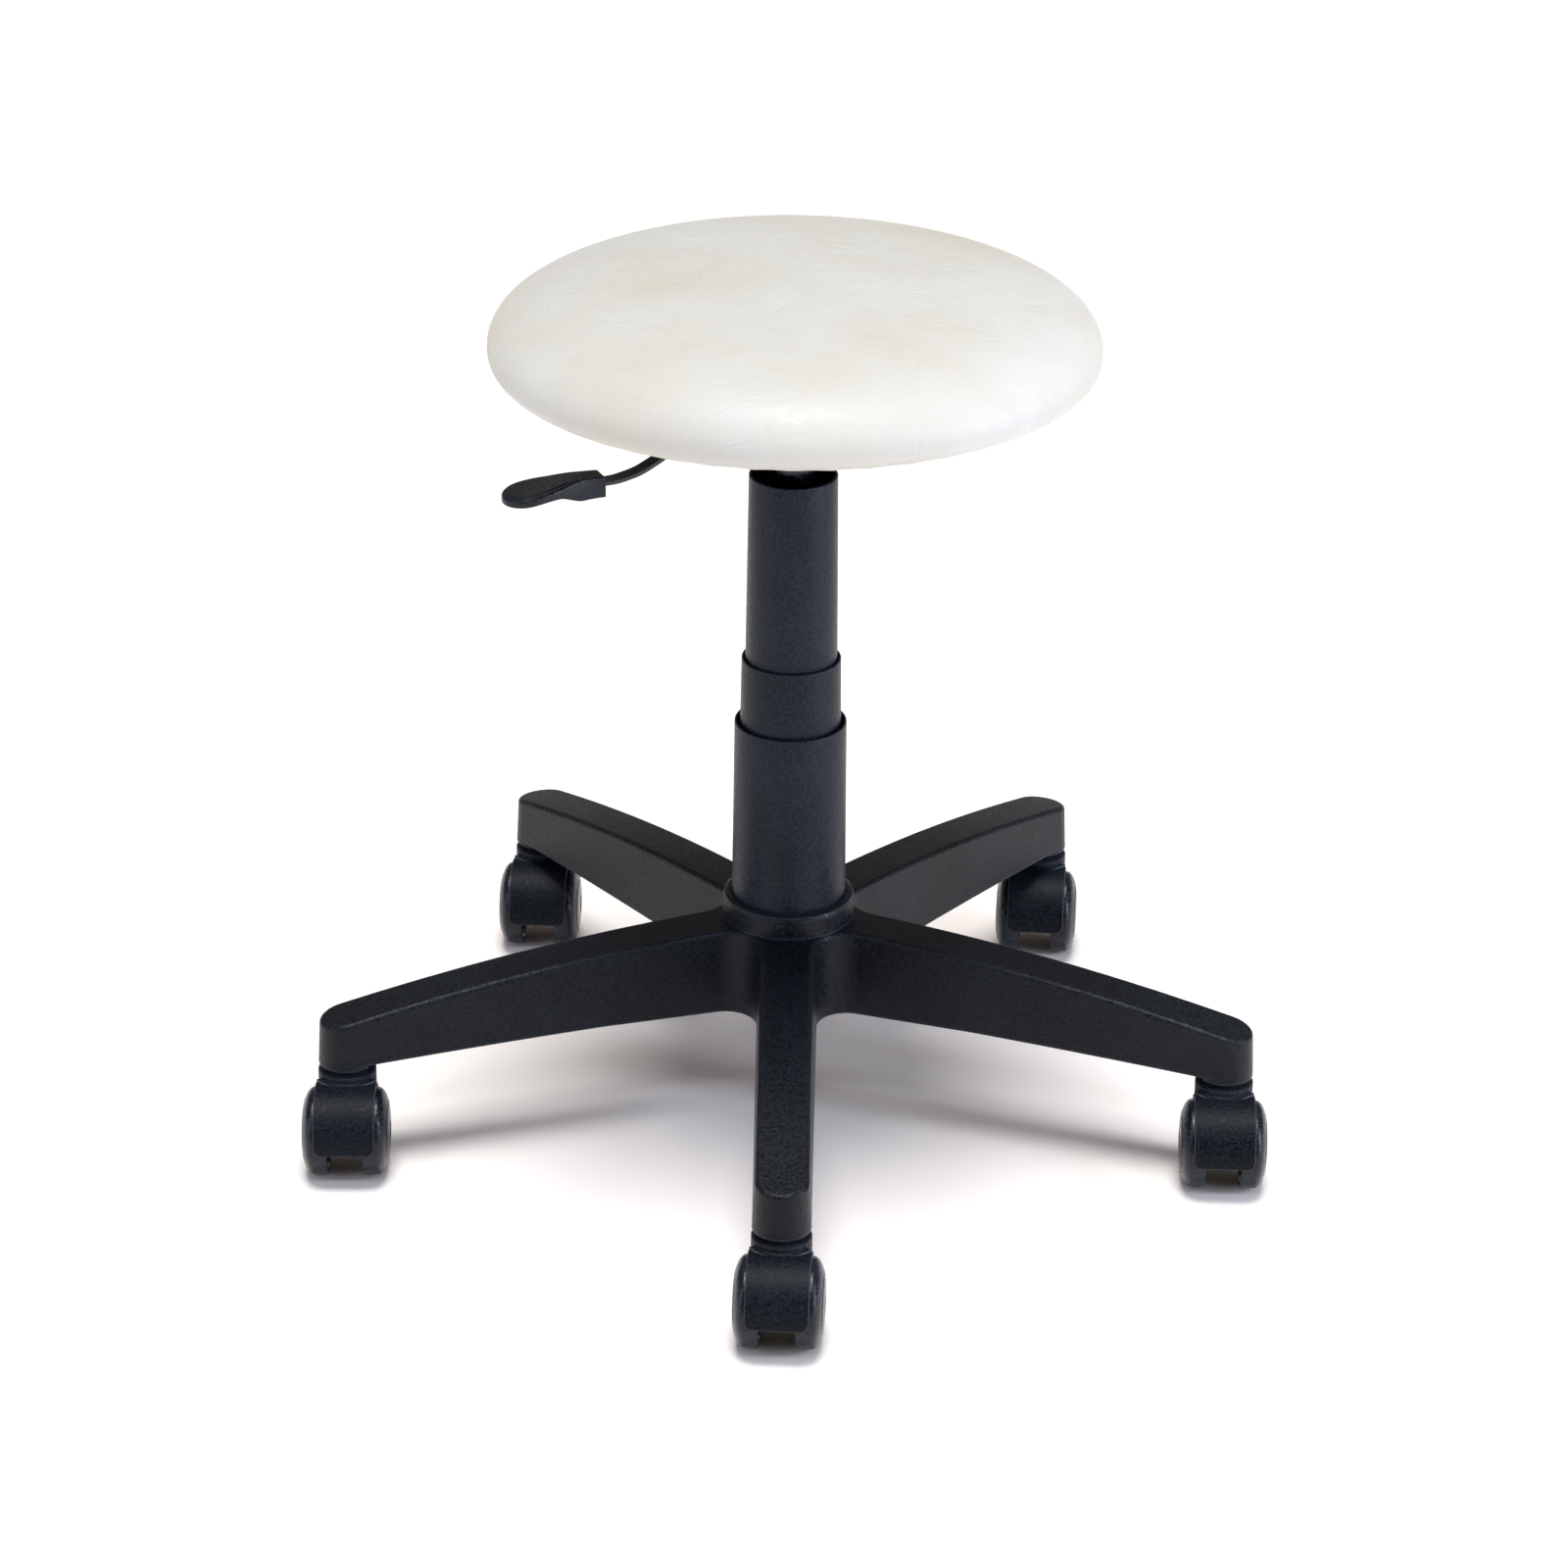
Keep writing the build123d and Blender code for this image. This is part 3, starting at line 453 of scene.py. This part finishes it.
for node, material in {
    "star_base": base_nylon,
    "column_tube": powder_coat, "seat_plate": powder_coat, "lever_housing": powder_coat,
    "taper_socket": powder_coat, "gas_cylinder": black_chrome,
    "guide_bushing": bushing_acetal, "rod_guide": bushing_acetal,
    "sleeve_spider": bushing_acetal, "bearing_cage": bushing_acetal,
    "valve_block": bushing_acetal,
    "tube_end_plate": bright_steel, "bearing_race_lower": bright_steel,
    "bearing_race_upper": bright_steel, "bearing_balls": bright_steel,
    "piston_rod": bright_steel, "rod_clip": bright_steel, "release_pin": bright_steel,
    "pivot_pin": bright_steel, "caster_stems": bright_steel, "grip_rings": bright_steel,
    "piston_nut": bright_steel, "piston": bright_steel,
    "bolt_washers": zinc_plate, "staples": zinc_plate, "seat_bolts": zinc_plate,
    "t_nuts": zinc_plate,
    "piston_ring": seal_rubber, "rod_seal": seal_rubber, "rubber_bumper": seal_rubber,
    "seat_cover": ivory_vinyl, "seat_foam": foam_block, "seat_board": plywood,
    "dust_cover": dust_cloth, "lever_strip": black_oxide, "lever_handle": handle_plastic,
    "lower_sleeve": cover_plastic, "middle_sleeve": cover_plastic,
    "upper_sleeve": cover_plastic,
}.items():
    dress(nodes[node], material)
for number in CASTERS:
    dress(nodes[f"caster_{number}_hood"], hood_nylon)
    dress(nodes[f"caster_{number}_axle"], bright_steel)
    dress(nodes[f"caster_{number}_wheel_left"], wheel_nylon)
    dress(nodes[f"caster_{number}_wheel_right"], wheel_nylon)
print("dressed", len(nodes), "parts")

# %% [markdown]
# ## From a grid of points to a mesh
#
# Every new shape here is a grid: one parameter runs round or across, the other runs along. A
# grid of points becomes a mesh by joining each point to its neighbours. Points that fall
# together, at a pole or where a loop closes, are merged, so the skin is watertight, and only
# then are the faces made to point outwards.

# %% Grid to mesh
def skin(name, grid, round_rows=False, round_columns=False):
    """A smooth mesh over a grid of points, rows by columns by 3. A round direction joins its
    last line back to its first."""
    rows, columns = grid.shape[:2]
    number = np.arange(rows * columns).reshape(rows, columns)
    if round_columns:
        number = np.hstack([number, number[:, :1]])
    if round_rows:
        number = np.vstack([number, number[:1]])
    quads = np.stack(
        [number[:-1, :-1], number[:-1, 1:], number[1:, 1:], number[1:, :-1]], -1
    ).reshape(-1, 4)
    mesh = bpy.data.meshes.new(name)
    mesh.from_pydata(grid.reshape(-1, 3), [], quads)
    made = bmesh.new()
    made.from_mesh(mesh)
    bmesh.ops.remove_doubles(made, verts=made.verts, dist=1e-6)
    bmesh.ops.recalc_face_normals(made, faces=made.faces)
    made.to_mesh(mesh)
    made.free()
    mesh.shade_smooth()
    piece = bpy.data.objects.new(name, mesh)
    bpy.context.scene.collection.objects.link(piece)
    return piece


print("grid to mesh ready")

# %% [markdown]
# ## The seat cushion
#
# The cover is one disc of vinyl, pulled down over foam and board and stapled underneath, so
# its side view is a low crown that rolls round a full edge and tucks in flat under the board.
# Two cubic curves draw that line. It could simply be turned into a lathe shape, but a turned
# skin looks machined, and real vinyl does not, so the line only says where the sheet starts.

# %% Seat profile
seat_points = corners("seat_cover")
widest = np.hypot(seat_points[:, 0], seat_points[:, 1])
EQUATOR_Z = float(seat_points[widest > SEAT_R - 0.02 * MM, 2].mean())
UNDER_Z, TOP_Z = seat_low.z, seat_high.z
FULLNESS = 0.68
TUCK_R, HEM_R = 145 * MM, 128 * MM
START_GAP = 0.7 * MM


def bezier(points, steps):
    """Points along a cubic Bezier curve. Its four corners are weighted by 1, 3, 3 and 1
    times the matching powers of 1 - t and t."""
    t = np.linspace(0, 1, steps)[:, None]
    a, b, c, d = np.asarray(points, float)
    return (1 - t) ** 3 * a + 3 * t * (1 - t) ** 2 * b + 3 * t ** 2 * (1 - t) * c + t ** 3 * d


def seat_line(gap):
    """Radius and height down the middle of the cover: crown, edge, tuck and hem. Each
    curve's handles reach the share FULLNESS of the way to the corner of its box."""
    radius, top, under = SEAT_R - gap, TOP_Z - gap, UNDER_Z + 0.2 * MM
    shoulder = EQUATOR_Z + FULLNESS * (top - EQUATOR_Z)
    belly = EQUATOR_Z - FULLNESS * (EQUATOR_Z - under)
    crown = bezier(
        [(0, top), (FULLNESS * radius, top), (radius, shoulder), (radius, EQUATOR_Z)], 160
    )
    roll = TUCK_R + FULLNESS * (radius - TUCK_R)
    edge = bezier([(radius, EQUATOR_Z), (radius, belly), (roll, under), (TUCK_R, under)], 60)
    return np.vstack([crown, edge[1:], [(HEM_R, under)]])


print("equator at", round(EQUATOR_Z / MM, 1), "mm, hem radius", round(HEM_R / MM, 1), "mm")

# %% [markdown]
# The vinyl is laid over that line as one woven square squeezed into a disc. A square grid has
# no pole in the middle of the crown and cells of one size all over, which cloth simulation
# likes. Each x is multiplied by the square root of 1 - y * y / 2, and each y likewise, which
# bends the square's edge into a circle. Distances along the line are kept, so the sheet is
# not stretched from crown to hem.

# %% Lay the vinyl over the seat
SHEET_LINES = 97
side = np.linspace(-1, 1, SHEET_LINES)
flat_x, flat_y = np.meshgrid(side, side)
disc_x = flat_x * np.sqrt(1 - flat_y ** 2 / 2)
disc_y = flat_y * np.sqrt(1 - flat_x ** 2 / 2)
share = np.clip(np.hypot(disc_x, disc_y), 0, 1)
line = seat_line(START_GAP)
run = np.concatenate([[0], np.cumsum(np.hypot(*np.diff(line, axis=0).T))])
reach = np.interp(share * run[-1], run, line[:, 0])
level = np.interp(share * run[-1], run, line[:, 1])
turn = np.arctan2(disc_y, disc_x)
sheet = np.stack([reach * np.cos(turn), reach * np.sin(turn), level], -1)
cushion = skin("cushion", sheet)
print("vinyl from crown to hem", round(run[-1] / MM), "mm")

# %% [markdown]
# The sheet starts a little small and is blown up like a cushion while the stapled part is
# held still, which evens out the tension as stretching does. Foam fills the inside, so the
# vinyl can move only outwards, and only a little way, and the seat keeps its real size.

# %% Stretch it
def stretched(piece, pinned, frames=20, pressure=4.0, cap=1.2 * MM):
    """Blows the sheet up with cloth simulation while the pinned points stay. Each point then
    keeps only the outward part d of its move, eased to cap * tanh(d / cap)."""
    start, facing = vectors(piece.data), vectors(piece.data, "normal")
    group = piece.vertex_groups.new(name="stapled")
    group.add(np.flatnonzero(pinned(start)).tolist(), 1.0, "REPLACE")
    cloth = piece.modifiers.new("cloth", "CLOTH")
    settings = cloth.settings
    settings.quality = 6
    settings.mass = 0.4
    settings.tension_stiffness = settings.compression_stiffness = 25
    settings.shear_stiffness = 12
    settings.bending_stiffness = 1.5
    settings.vertex_group_mass = "stapled"
    settings.use_pressure = True
    settings.uniform_pressure_force = pressure
    settings.effector_weights.gravity = 0
    cloth.point_cache.frame_end = frames
    for moment in range(1, frames + 1):
        bpy.context.scene.frame_set(moment)
    shaped = piece.evaluated_get(bpy.context.evaluated_depsgraph_get()).to_mesh()
    end = vectors(shaped)
    piece.modifiers.clear()
    bpy.context.scene.frame_set(1)
    outward = np.maximum(((end - start) * facing).sum(1, keepdims=True), 0)
    kept = start + facing * cap * np.tanh(outward / cap)
    piece.data.vertices.foreach_set("co", kept.ravel())
    piece.data.update()
    return outward


def stapled(points):
    """True for points that lie flat under the board."""
    inside = np.hypot(points[:, 0], points[:, 1]) < 160 * MM
    return (points[:, 2] < UNDER_Z + 1.0 * MM) & inside


moved = stretched(cushion, stapled)
print("cloth wanted to move up to", round(float(moved.max()) / MM, 1), "mm")

# %% [markdown]
# Where the round edge is tucked under the board the spare vinyl gathers into small pleats
# between the staples. They die out before the equator, so the visible edge stays smooth.

# %% Gather the hem
PLEATS = 48
PLEAT_DEPTH = 0.8 * MM
spots = vectors(cushion.data)
out = np.hypot(spots[:, 0], spots[:, 1])
below = np.clip((EQUATOR_Z - 7 * MM - spots[:, 2]) / (6 * MM), 0, 1)
outward = np.clip((out - HEM_R) / (12 * MM), 0, 1)
wave = 0.5 - 0.5 * np.cos(PLEATS * np.arctan2(spots[:, 1], spots[:, 0]))
spots[:, 2] += PLEAT_DEPTH * wave * below * outward
cushion.data.vertices.foreach_set("co", spots.ravel())
cushion.data.update()
print("gathered", PLEATS, "pleats")

# %% [markdown]
# The sheet gets its 1.2 mm thickness inwards, so the outside stays where the stretching left
# it, and one level of subdivision rounds the facets of the grid.

# %% Thicken the vinyl
wall = cushion.modifiers.new("wall", "SOLIDIFY")
wall.thickness = 1.2 * MM
wall.offset = -1
smooth = cushion.modifiers.new("smooth", "SUBSURF")
smooth.levels = smooth.render_levels = 1
dress(cushion, ivory_vinyl)
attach(cushion, "seat")
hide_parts("seat_cover")
print("cushion points", len(cushion.data.vertices))

# %% [markdown]
# ## Turned shapes
#
# The covers, the wheels and a small mould mark are all turned: an outline carried round an
# axis. Blender's Spin tool or Screw modifier would do it too, but an array shows the formula,
# and the number of steps can be chosen for each piece.

# %% Carry an outline round an axis
def turned(name, outline, along="Z", steps=192):
    """A closed outline of (radius, height) rows carried round an axis. Each row becomes a
    circle of that radius, at that height along the axis."""
    turn = np.linspace(0, 2 * pi, steps, endpoint=False)
    radius, height = np.asarray(outline, float).T
    across = radius[:, None] * np.cos(turn)
    around = radius[:, None] * np.sin(turn)
    level = np.broadcast_to(height[:, None], across.shape)
    axes = {"Z": (across, around, level), "X": (level, across, around)}[along]
    closed = bool(radius[0] > 1e-6)
    return skin(name, np.stack(axes, -1), round_columns=True, round_rows=closed)


print("turning tool ready")

# %% [markdown]
# ## Column covers
#
# Each cover is a drafted tube moulded in black polypropylene. Draft lets it slip off the
# core, and the rim is rounded where the two mould halves meet, so a thin bright line runs
# round every rim and a dark gap shows behind it. A Bevel modifier could round the rim, but
# rounding the outline before it is turned gives the same rim with clean long faces.

# %% Round the corners of an outline
def rounded(points, radii, steps=6):
    """An outline with its corners rounded. Each corner becomes a circular arc written as a
    rational quadratic: two tangent points, the corner between them with the weight
    sin(half angle), and evenly spaced steps."""
    points = np.asarray(points, float)
    before = np.roll(points, 1, 0) - points
    after = np.roll(points, -1, 0) - points
    before /= np.linalg.norm(before, axis=1)[:, None]
    after /= np.linalg.norm(after, axis=1)[:, None]
    half = np.arccos(np.clip((before * after).sum(1), -1, 1)) / 2
    reach = np.asarray(radii, float) / np.tan(half)
    start = points + before * reach[:, None]
    end = points + after * reach[:, None]
    t = np.linspace(0, 1, steps)[None, :, None]
    weight = np.sin(half)[:, None, None]
    ends = (1 - t) ** 2 * start[:, None] + t ** 2 * end[:, None]
    top = ends + 2 * t * (1 - t) * weight * points[:, None]
    arcs = top / ((1 - t) ** 2 + t ** 2 + 2 * t * (1 - t) * weight)
    return arcs.reshape(-1, 2)


print("rounding tool ready")

# %% [markdown]
# A drafted tube's radius changes with height, so it is measured on the engineered part inside
# a thin slice at its foot and another at its rim.

# %% Covers
RIM_ROUND = 0.75 * MM
WALL = 1.7 * MM


def outer_radius(node, low, high):
    """The largest distance from the column's axis among points between two heights."""
    points = corners(node)
    slab = points[(points[:, 2] >= low) & (points[:, 2] <= high)]
    return float(np.hypot(slab[:, 0], slab[:, 1]).max())


def cover(node, body):
    """A drafted tube with the part's own radii at foot and rim, and a rounded rim."""
    low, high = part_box(node)
    foot_r = outer_radius(node, low.z - 1 * MM, low.z + 1 * MM)
    rim_r = outer_radius(node, high.z - 2 * MM, high.z)
    outline = rounded(
        [(foot_r - WALL, low.z), (foot_r, low.z), (rim_r, high.z), (rim_r - WALL, high.z)],
        [0.3 * MM, 0.3 * MM, RIM_ROUND, RIM_ROUND],
    )
    piece = turned(node + "_cover", outline)
    dress(piece, cover_plastic)
    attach(piece, body)
    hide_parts(node)
    return foot_r, rim_r


for node, body in (
    ("lower_sleeve", "base"), ("middle_sleeve", "middle_cover"), ("upper_sleeve", "seat"),
):
    print(node, [round(r / MM, 2) for r in cover(node, body)], "mm at foot and rim")

# %% [markdown]
# ## Caster wheels
#
# A twin-wheel caster's wheel is a nylon cup: a flat tread, a domed outer face with a shallow
# ring where the mould insert sat, and an open back round the axle. The dome catches a tall
# highlight beside the hood.

# %% Wheels
WHEEL_R = 27.5
WHEEL_OUT = 27.3
DOME_WIDE, DOME_HIGH = 18.0, 7.5


def wheel_outline():
    """Radius and distance out along the axle in millimetres. The dome is a quarter of an
    ellipse, with a shallow ring cut into it between radius 20.2 and 17.4."""
    back = [(4.06, 24.0), (4.06, 10.75), (9.0, 10.75), (9.0, 21.0), (22.5, 21.0)]
    tread = [(23.5, 10.95), (26.6, 10.75), (27.3, 11.1), (27.5, 11.9)]
    quarter = np.linspace(0, pi / 2, 18)
    radius = WHEEL_R - DOME_WIDE * (1 - np.cos(quarter))
    dome = np.stack([radius, WHEEL_OUT - DOME_HIGH * (1 - np.sin(quarter))], -1)
    ring = [(19.6, 26.15), (19.2, 25.75), (18.4, 25.95), (18.0, 26.5)]
    face = [(6.2, 27.3), (5.9, 27.0), (0.0, 27.0), (0.0, 24.0)]
    return np.vstack([back, tread, dome[radius > 20.2], ring, dome[radius < 17.4], face])


profile = wheel_outline() * MM
print("wheel", 2 * WHEEL_R, "mm across, outline of", len(profile), "points")

# %% [markdown]
# One outline serves all ten wheels, mirrored for the left one of each pair. The casters all
# stand a few degrees apart, so each pair is turned to the direction of its own axle: the
# longest direction of the axle's points, which a singular value decomposition finds.

# %% Place the wheels
for number in CASTERS:
    axle = corners(f"caster_{number}_axle")
    middle_x, middle_y, _ = (axle.min(0) + axle.max(0)) / 2
    along_x, along_y, _ = np.linalg.svd(axle - axle.mean(0), full_matrices=False)[2][0]
    lean = atan2(along_y * np.sign(along_x), abs(along_x))
    place = Matrix.Translation((middle_x, middle_y, WHEEL_R * MM))
    for side_name, sign in (("left", -1), ("right", 1)):
        outline = profile * np.array([1, sign])
        wheel = turned(f"wheel_{number}_{side_name}", outline, along="X", steps=128)
        wheel.data.transform(place @ Matrix.Rotation(lean, 4, "Z"))
        dress(wheel, wheel_nylon)
        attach(wheel, f"caster_{number}_{side_name}")
        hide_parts(f"caster_{number}_wheel_{side_name}")
    print("caster", number, "turned", round(degrees(lean), 1), "degrees")

# %% [markdown]
# ## Release paddle
#
# The paddle is moulded round the end of the bent strip: a thick square block where the strip
# enters, and a thin broad blade for the fingers. The blade has a raised pad inside a lower
# rim, and it droops a little towards its round tip. It is described by three curves along its
# length u, which is counted outwards from the block: half its width, and the heights of its
# top and its underside.

# %% Paddle curves
handle_points = corners("lever_handle")
handle_middle = np.array([handle_points[:, 0].mean(), handle_points[:, 1].mean()])
HEADING_OUT = handle_middle / np.hypot(*handle_middle)
ACROSS = np.array([HEADING_OUT[1], -HEADING_OUT[0]])
along_lever = handle_points[:, :2] @ HEADING_OUT
BLOCK_U, TIP_U = along_lever.min(), along_lever.max()
BLOCK_TOP = handle_points[along_lever < BLOCK_U + 0.5 * MM, 2].max()
PADDLE_HALF, BLOCK_HALF = 15.5 * MM, 7 * MM
STEP_HIGH = 0.55 * MM
BLADE_U = TIP_U - BLOCK_U - PADDLE_HALF


def eased(x):
    """0 before 0, 1 after 1, and the smooth cubic 3x^2 - 2x^3 between."""
    x = np.clip(x, 0, 1)
    return x * x * (3 - 2 * x)


def half_width(u):
    """Half the paddle's width, from the narrow block to the broad blade."""
    return BLOCK_HALF + (PADDLE_HALF - BLOCK_HALF) * eased((u - 6 * MM) / (42 * MM))


def bladeness(u):
    """0 over the block and 1 over the blade, which begins 14 to 34 mm out."""
    return eased((u - 14 * MM) / (20 * MM))


def paddle_top(u):
    """Height of the top face: a cubic through four heights in millimetres, a slight rise
    over the block and then a droop to the tip."""
    bend = np.polyfit([0, 16, 38, 64.4], [0, 0.7, -1.2, -5.2], 3)
    return BLOCK_TOP + np.polyval(bend, u / MM) * MM


def paddle_bottom(u):
    """Height of the underside: 12.8 mm below the top at the block, 5.4 mm higher under the
    blade, and drooping 2.8 mm to the tip."""
    thin = 5.4 * eased((u / MM - 14) / 19) - 2.8 * eased((u / MM - 36) / 30)
    return BLOCK_TOP + (thin - 12.8) * MM


print("blade", 2 * PADDLE_HALF / MM, "mm wide, block", 2 * BLOCK_HALF / MM, "mm wide")

# %% [markdown]
# Seen from above, the paddle is a closed line: across the block's end, out along one side,
# round the tip and back. Rings like it, each drawn in further towards the middle, carry the
# pad, the step down to the rim, the rounded edge and the underside. Each ring takes its
# height where its own points lie, so the faces never fold.

# %% Paddle surface
def paddle_line():
    """The outline from above: distance u out along the lever and v across it."""
    side_u = np.linspace(0, BLADE_U, 40)[1:]
    tip = np.linspace(pi / 2, -pi / 2, 41)[1:-1]
    block = np.linspace(-BLOCK_HALF, BLOCK_HALF, 9)
    u = np.concatenate([0 * block, side_u, BLADE_U + PADDLE_HALF * np.cos(tip), side_u[::-1]])
    width = half_width(side_u)
    v = np.concatenate([block, width, PADDLE_HALF * np.sin(tip), -width[::-1]])
    return u, v


def paddle():
    """Rings from the middle of the top face, over the edge, to the middle underneath. A ring
    lies its inset nearer than the outline to the paddle's middle line."""
    u, v = paddle_line()
    core_u = np.clip(u, 5 * MM, BLADE_U)
    gap = np.hypot(u - core_u, v)
    edge = (0.5 + 1.1 * bladeness(u)) * MM
    quarter = np.linspace(0, pi / 2, 6)[:, None]
    small = np.linspace(0, pi / 2, 4)[:, None]
    pad = np.array([1.0, 0.8, 0.6, 0.45])[:, None] * gap
    step = np.array([4.4, 3.9, 3.5, 3.0])[:, None] * MM
    step = np.minimum(step, np.array([0.38, 0.36, 0.34, 0.32])[:, None] * gap)
    rim = np.minimum(edge * (1 - np.sin(quarter)), 0.3 * gap)
    low = 0.6 * MM * (1 - np.cos(small)) + 0 * gap
    inset = np.vstack([pad, step, rim, low, 0.5 * gap, gap])
    pull = np.clip(inset / np.maximum(gap, 1e-9), 0, 1)
    ring_u = u + (core_u - u) * pull
    ring_v = v * (1 - pull)
    top_rows = len(pad) + len(step) + len(rim)
    sunk = np.array([0, 0, 0, 0, 0, 0.15, 0.88, 1, 1, 1, 1, 1, 1, 1])[:, None]
    sunk = sunk * bladeness(ring_u[:top_rows]) * STEP_HIGH
    fall = np.vstack([0 * pad, 0 * step, edge * (1 - np.cos(quarter))])
    top = paddle_top(ring_u[:top_rows]) - sunk - fall
    under = paddle_bottom(ring_u[top_rows:])
    under[: len(low)] += 0.6 * MM * (1 - np.sin(small))
    height = np.vstack([top, under])
    plan = (BLOCK_U + ring_u)[..., None] * HEADING_OUT + ring_v[..., None] * ACROSS
    return np.concatenate([plan, height[..., None]], -1)


handle = skin("paddle", paddle(), round_columns=True)
handle.data.set_sharp_from_angle(angle=radians(38))
dress(handle, handle_plastic)
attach(handle, "lever")
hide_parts("lever_handle")
print("paddle from", round(BLOCK_U / MM), "to", round(TIP_U / MM), "mm out")

# %% [markdown]
# ## Gate mark
#
# Melt enters the base through one gate. Where it is snipped off, a tiny stub is left on the
# hub ring: half an ellipsoid on a short root that is sunk into the ring.

# %% Gate mark
STUB_R, STUB_HIGH, STUB_ROOT = 0.8 * MM, 0.5 * MM, 0.6 * MM
ring_r = outer_radius("star_base", 142 * MM, 144 * MM)
dot = np.linspace(pi / 2, 0, 6)
bead = np.stack([STUB_R * np.cos(dot), STUB_HIGH * np.sin(dot)], -1)
outline = np.vstack([bead, [(STUB_R, -STUB_ROOT), (0, -STUB_ROOT)]])
stub = turned("gate_mark", outline, steps=16)
stub.data.transform(
    Matrix.Rotation(radians(-8.6), 4, "Z")
    @ Matrix.Translation((0, -ring_r, 139.6 * MM))
    @ Matrix.Rotation(pi / 2, 4, "X")
)
dress(stub, base_nylon)
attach(stub, "base")
print("gate mark on a ring of radius", round(ring_r / MM, 2), "mm")

# %% [markdown]
# ## Studio
#
# The stool stands on white paper, wide enough to have no visible end.

# %% Floor
FLOOR_HALF = 30.0
floor_mesh = bpy.data.meshes.new("floor")
floor_mesh.from_pydata(
    [(x * FLOOR_HALF, y * FLOOR_HALF, 0) for x, y in ((-1, -1), (1, -1), (1, 1), (-1, 1))],
    [], [(0, 1, 2, 3)],
)
floor = bpy.data.objects.new("floor", floor_mesh)
bpy.context.scene.collection.objects.link(floor)
paper, _, _ = finish_named("white_paper", Base_Color=linear("#FAF5F2"), Roughness=0.9,
                           Specular_IOR_Level=0.1)
dress(floor, paper)
print("floor", 2 * FLOOR_HALF, "m wide")

# %% [markdown]
# A broad soft light almost overhead makes the seat's own shadow under it. Black plastic shows
# its shape by what it mirrors, so tall cool panels stand at both sides for long highlights on
# the covers and arms, two narrow strips nearer the front draw the edges, and a bar high up in
# front catches the tops. The surround gives only a dim even light, so that black stays black,
# but looks as pale as the paper where the floor ends.

# %% Lights
def panel(name, place, aim, size, power, colour):
    """A rectangular area light at a place in metres, turned to face a point. Power is in
    watts."""
    light = bpy.data.lights.new(name, "AREA")
    light.shape = "RECTANGLE"
    light.size, light.size_y = size
    light.energy = power
    light.color = linear(colour)[:3]
    lamp = bpy.data.objects.new(name, light)
    lamp.location = place
    lamp.rotation_euler = (Vector(aim) - Vector(place)).to_track_quat("-Z", "Y").to_euler()
    bpy.context.scene.collection.objects.link(lamp)


CENTRE = (0, 0, 0.25)
key = bpy.data.lights.new("overhead", "SUN")
key.energy = 3.05
key.angle = radians(26)
key.color = linear("#FFFEFC")[:3]
key_lamp = bpy.data.objects.new("overhead", key)
key_lamp.rotation_euler = (radians(3), radians(-1), 0)
bpy.context.scene.collection.objects.link(key_lamp)
for name, place, size, power, colour in (
    ("right_side", (2.1, -0.8, 0.8), (0.35, 1.5), 32, "#E4ECFF"),
    ("left_side", (-2.1, -0.9, 0.8), (0.3, 1.5), 7, "#E4ECFF"),
    ("right_strip", (1.6, -1.7, 1.3), (0.14, 1.5), 7, "#E4ECFF"),
    ("left_strip", (-1.6, -1.7, 1.3), (0.14, 1.5), 7, "#E4ECFF"),
    ("front_bar", (0.0, -1.5, 2.3), (1.9, 0.12), 10, "#E9EFFF"),
):
    panel(name, place, CENTRE, size, power, colour)
print("lights", len(bpy.data.lights))

# %% [markdown]
# The surround's strength depends on who looks. A ray straight from the camera finds it pale,
# and a ray that carries light to the stool finds it dim.

# %% Surround
DIM, PALE = 0.2, 1.1
world = bpy.data.worlds.new("studio")
bpy.context.scene.world = world
world.use_nodes = True
sky = world.node_tree.nodes["Background"]
sky.inputs["Color"].default_value = linear("#FFF0E6")
seen = add(world.node_tree, "ShaderNodeLightPath").outputs["Is Camera Ray"]
strength = add(
    world.node_tree, "ShaderNodeMapRange", {"Value": seen, "To Min": DIM, "To Max": PALE}
)
world.node_tree.links.new(strength.outputs["Result"], sky.inputs["Strength"])
bpy.context.scene.view_settings.view_transform = "Standard"
print("surround", DIM, "for light and", PALE, "for the camera")

# %% [markdown]
# ## Camera
#
# A long lens from just above seat height keeps the verticals nearly straight and shows the
# top of the seat as a calm ellipse.

# %% Camera
LENS = 115.24
ELEVATION = radians(25.09)
HEADING = radians(0.32)
DISTANCE = 3.1608
TARGET = Vector((0, 0, 0.2196))
ROLL = radians(0.69)
camera_data = bpy.data.cameras.new("camera")
camera_data.lens = LENS
camera_data.shift_x = -0.0037
camera = bpy.data.objects.new("camera", camera_data)
level_out = Vector((sin(HEADING), -cos(HEADING), 0))
direction = cos(ELEVATION) * level_out + Vector((0, 0, sin(ELEVATION)))
camera.matrix_world = (
    Matrix.Translation(TARGET + DISTANCE * direction)
    @ direction.to_track_quat("Z", "Y").to_matrix().to_4x4()
    @ Matrix.Rotation(ROLL, 4, "Z")
)
bpy.context.scene.collection.objects.link(camera)
bpy.context.scene.camera = camera
print("camera at", [round(v, 3) for v in camera.matrix_world.translation])
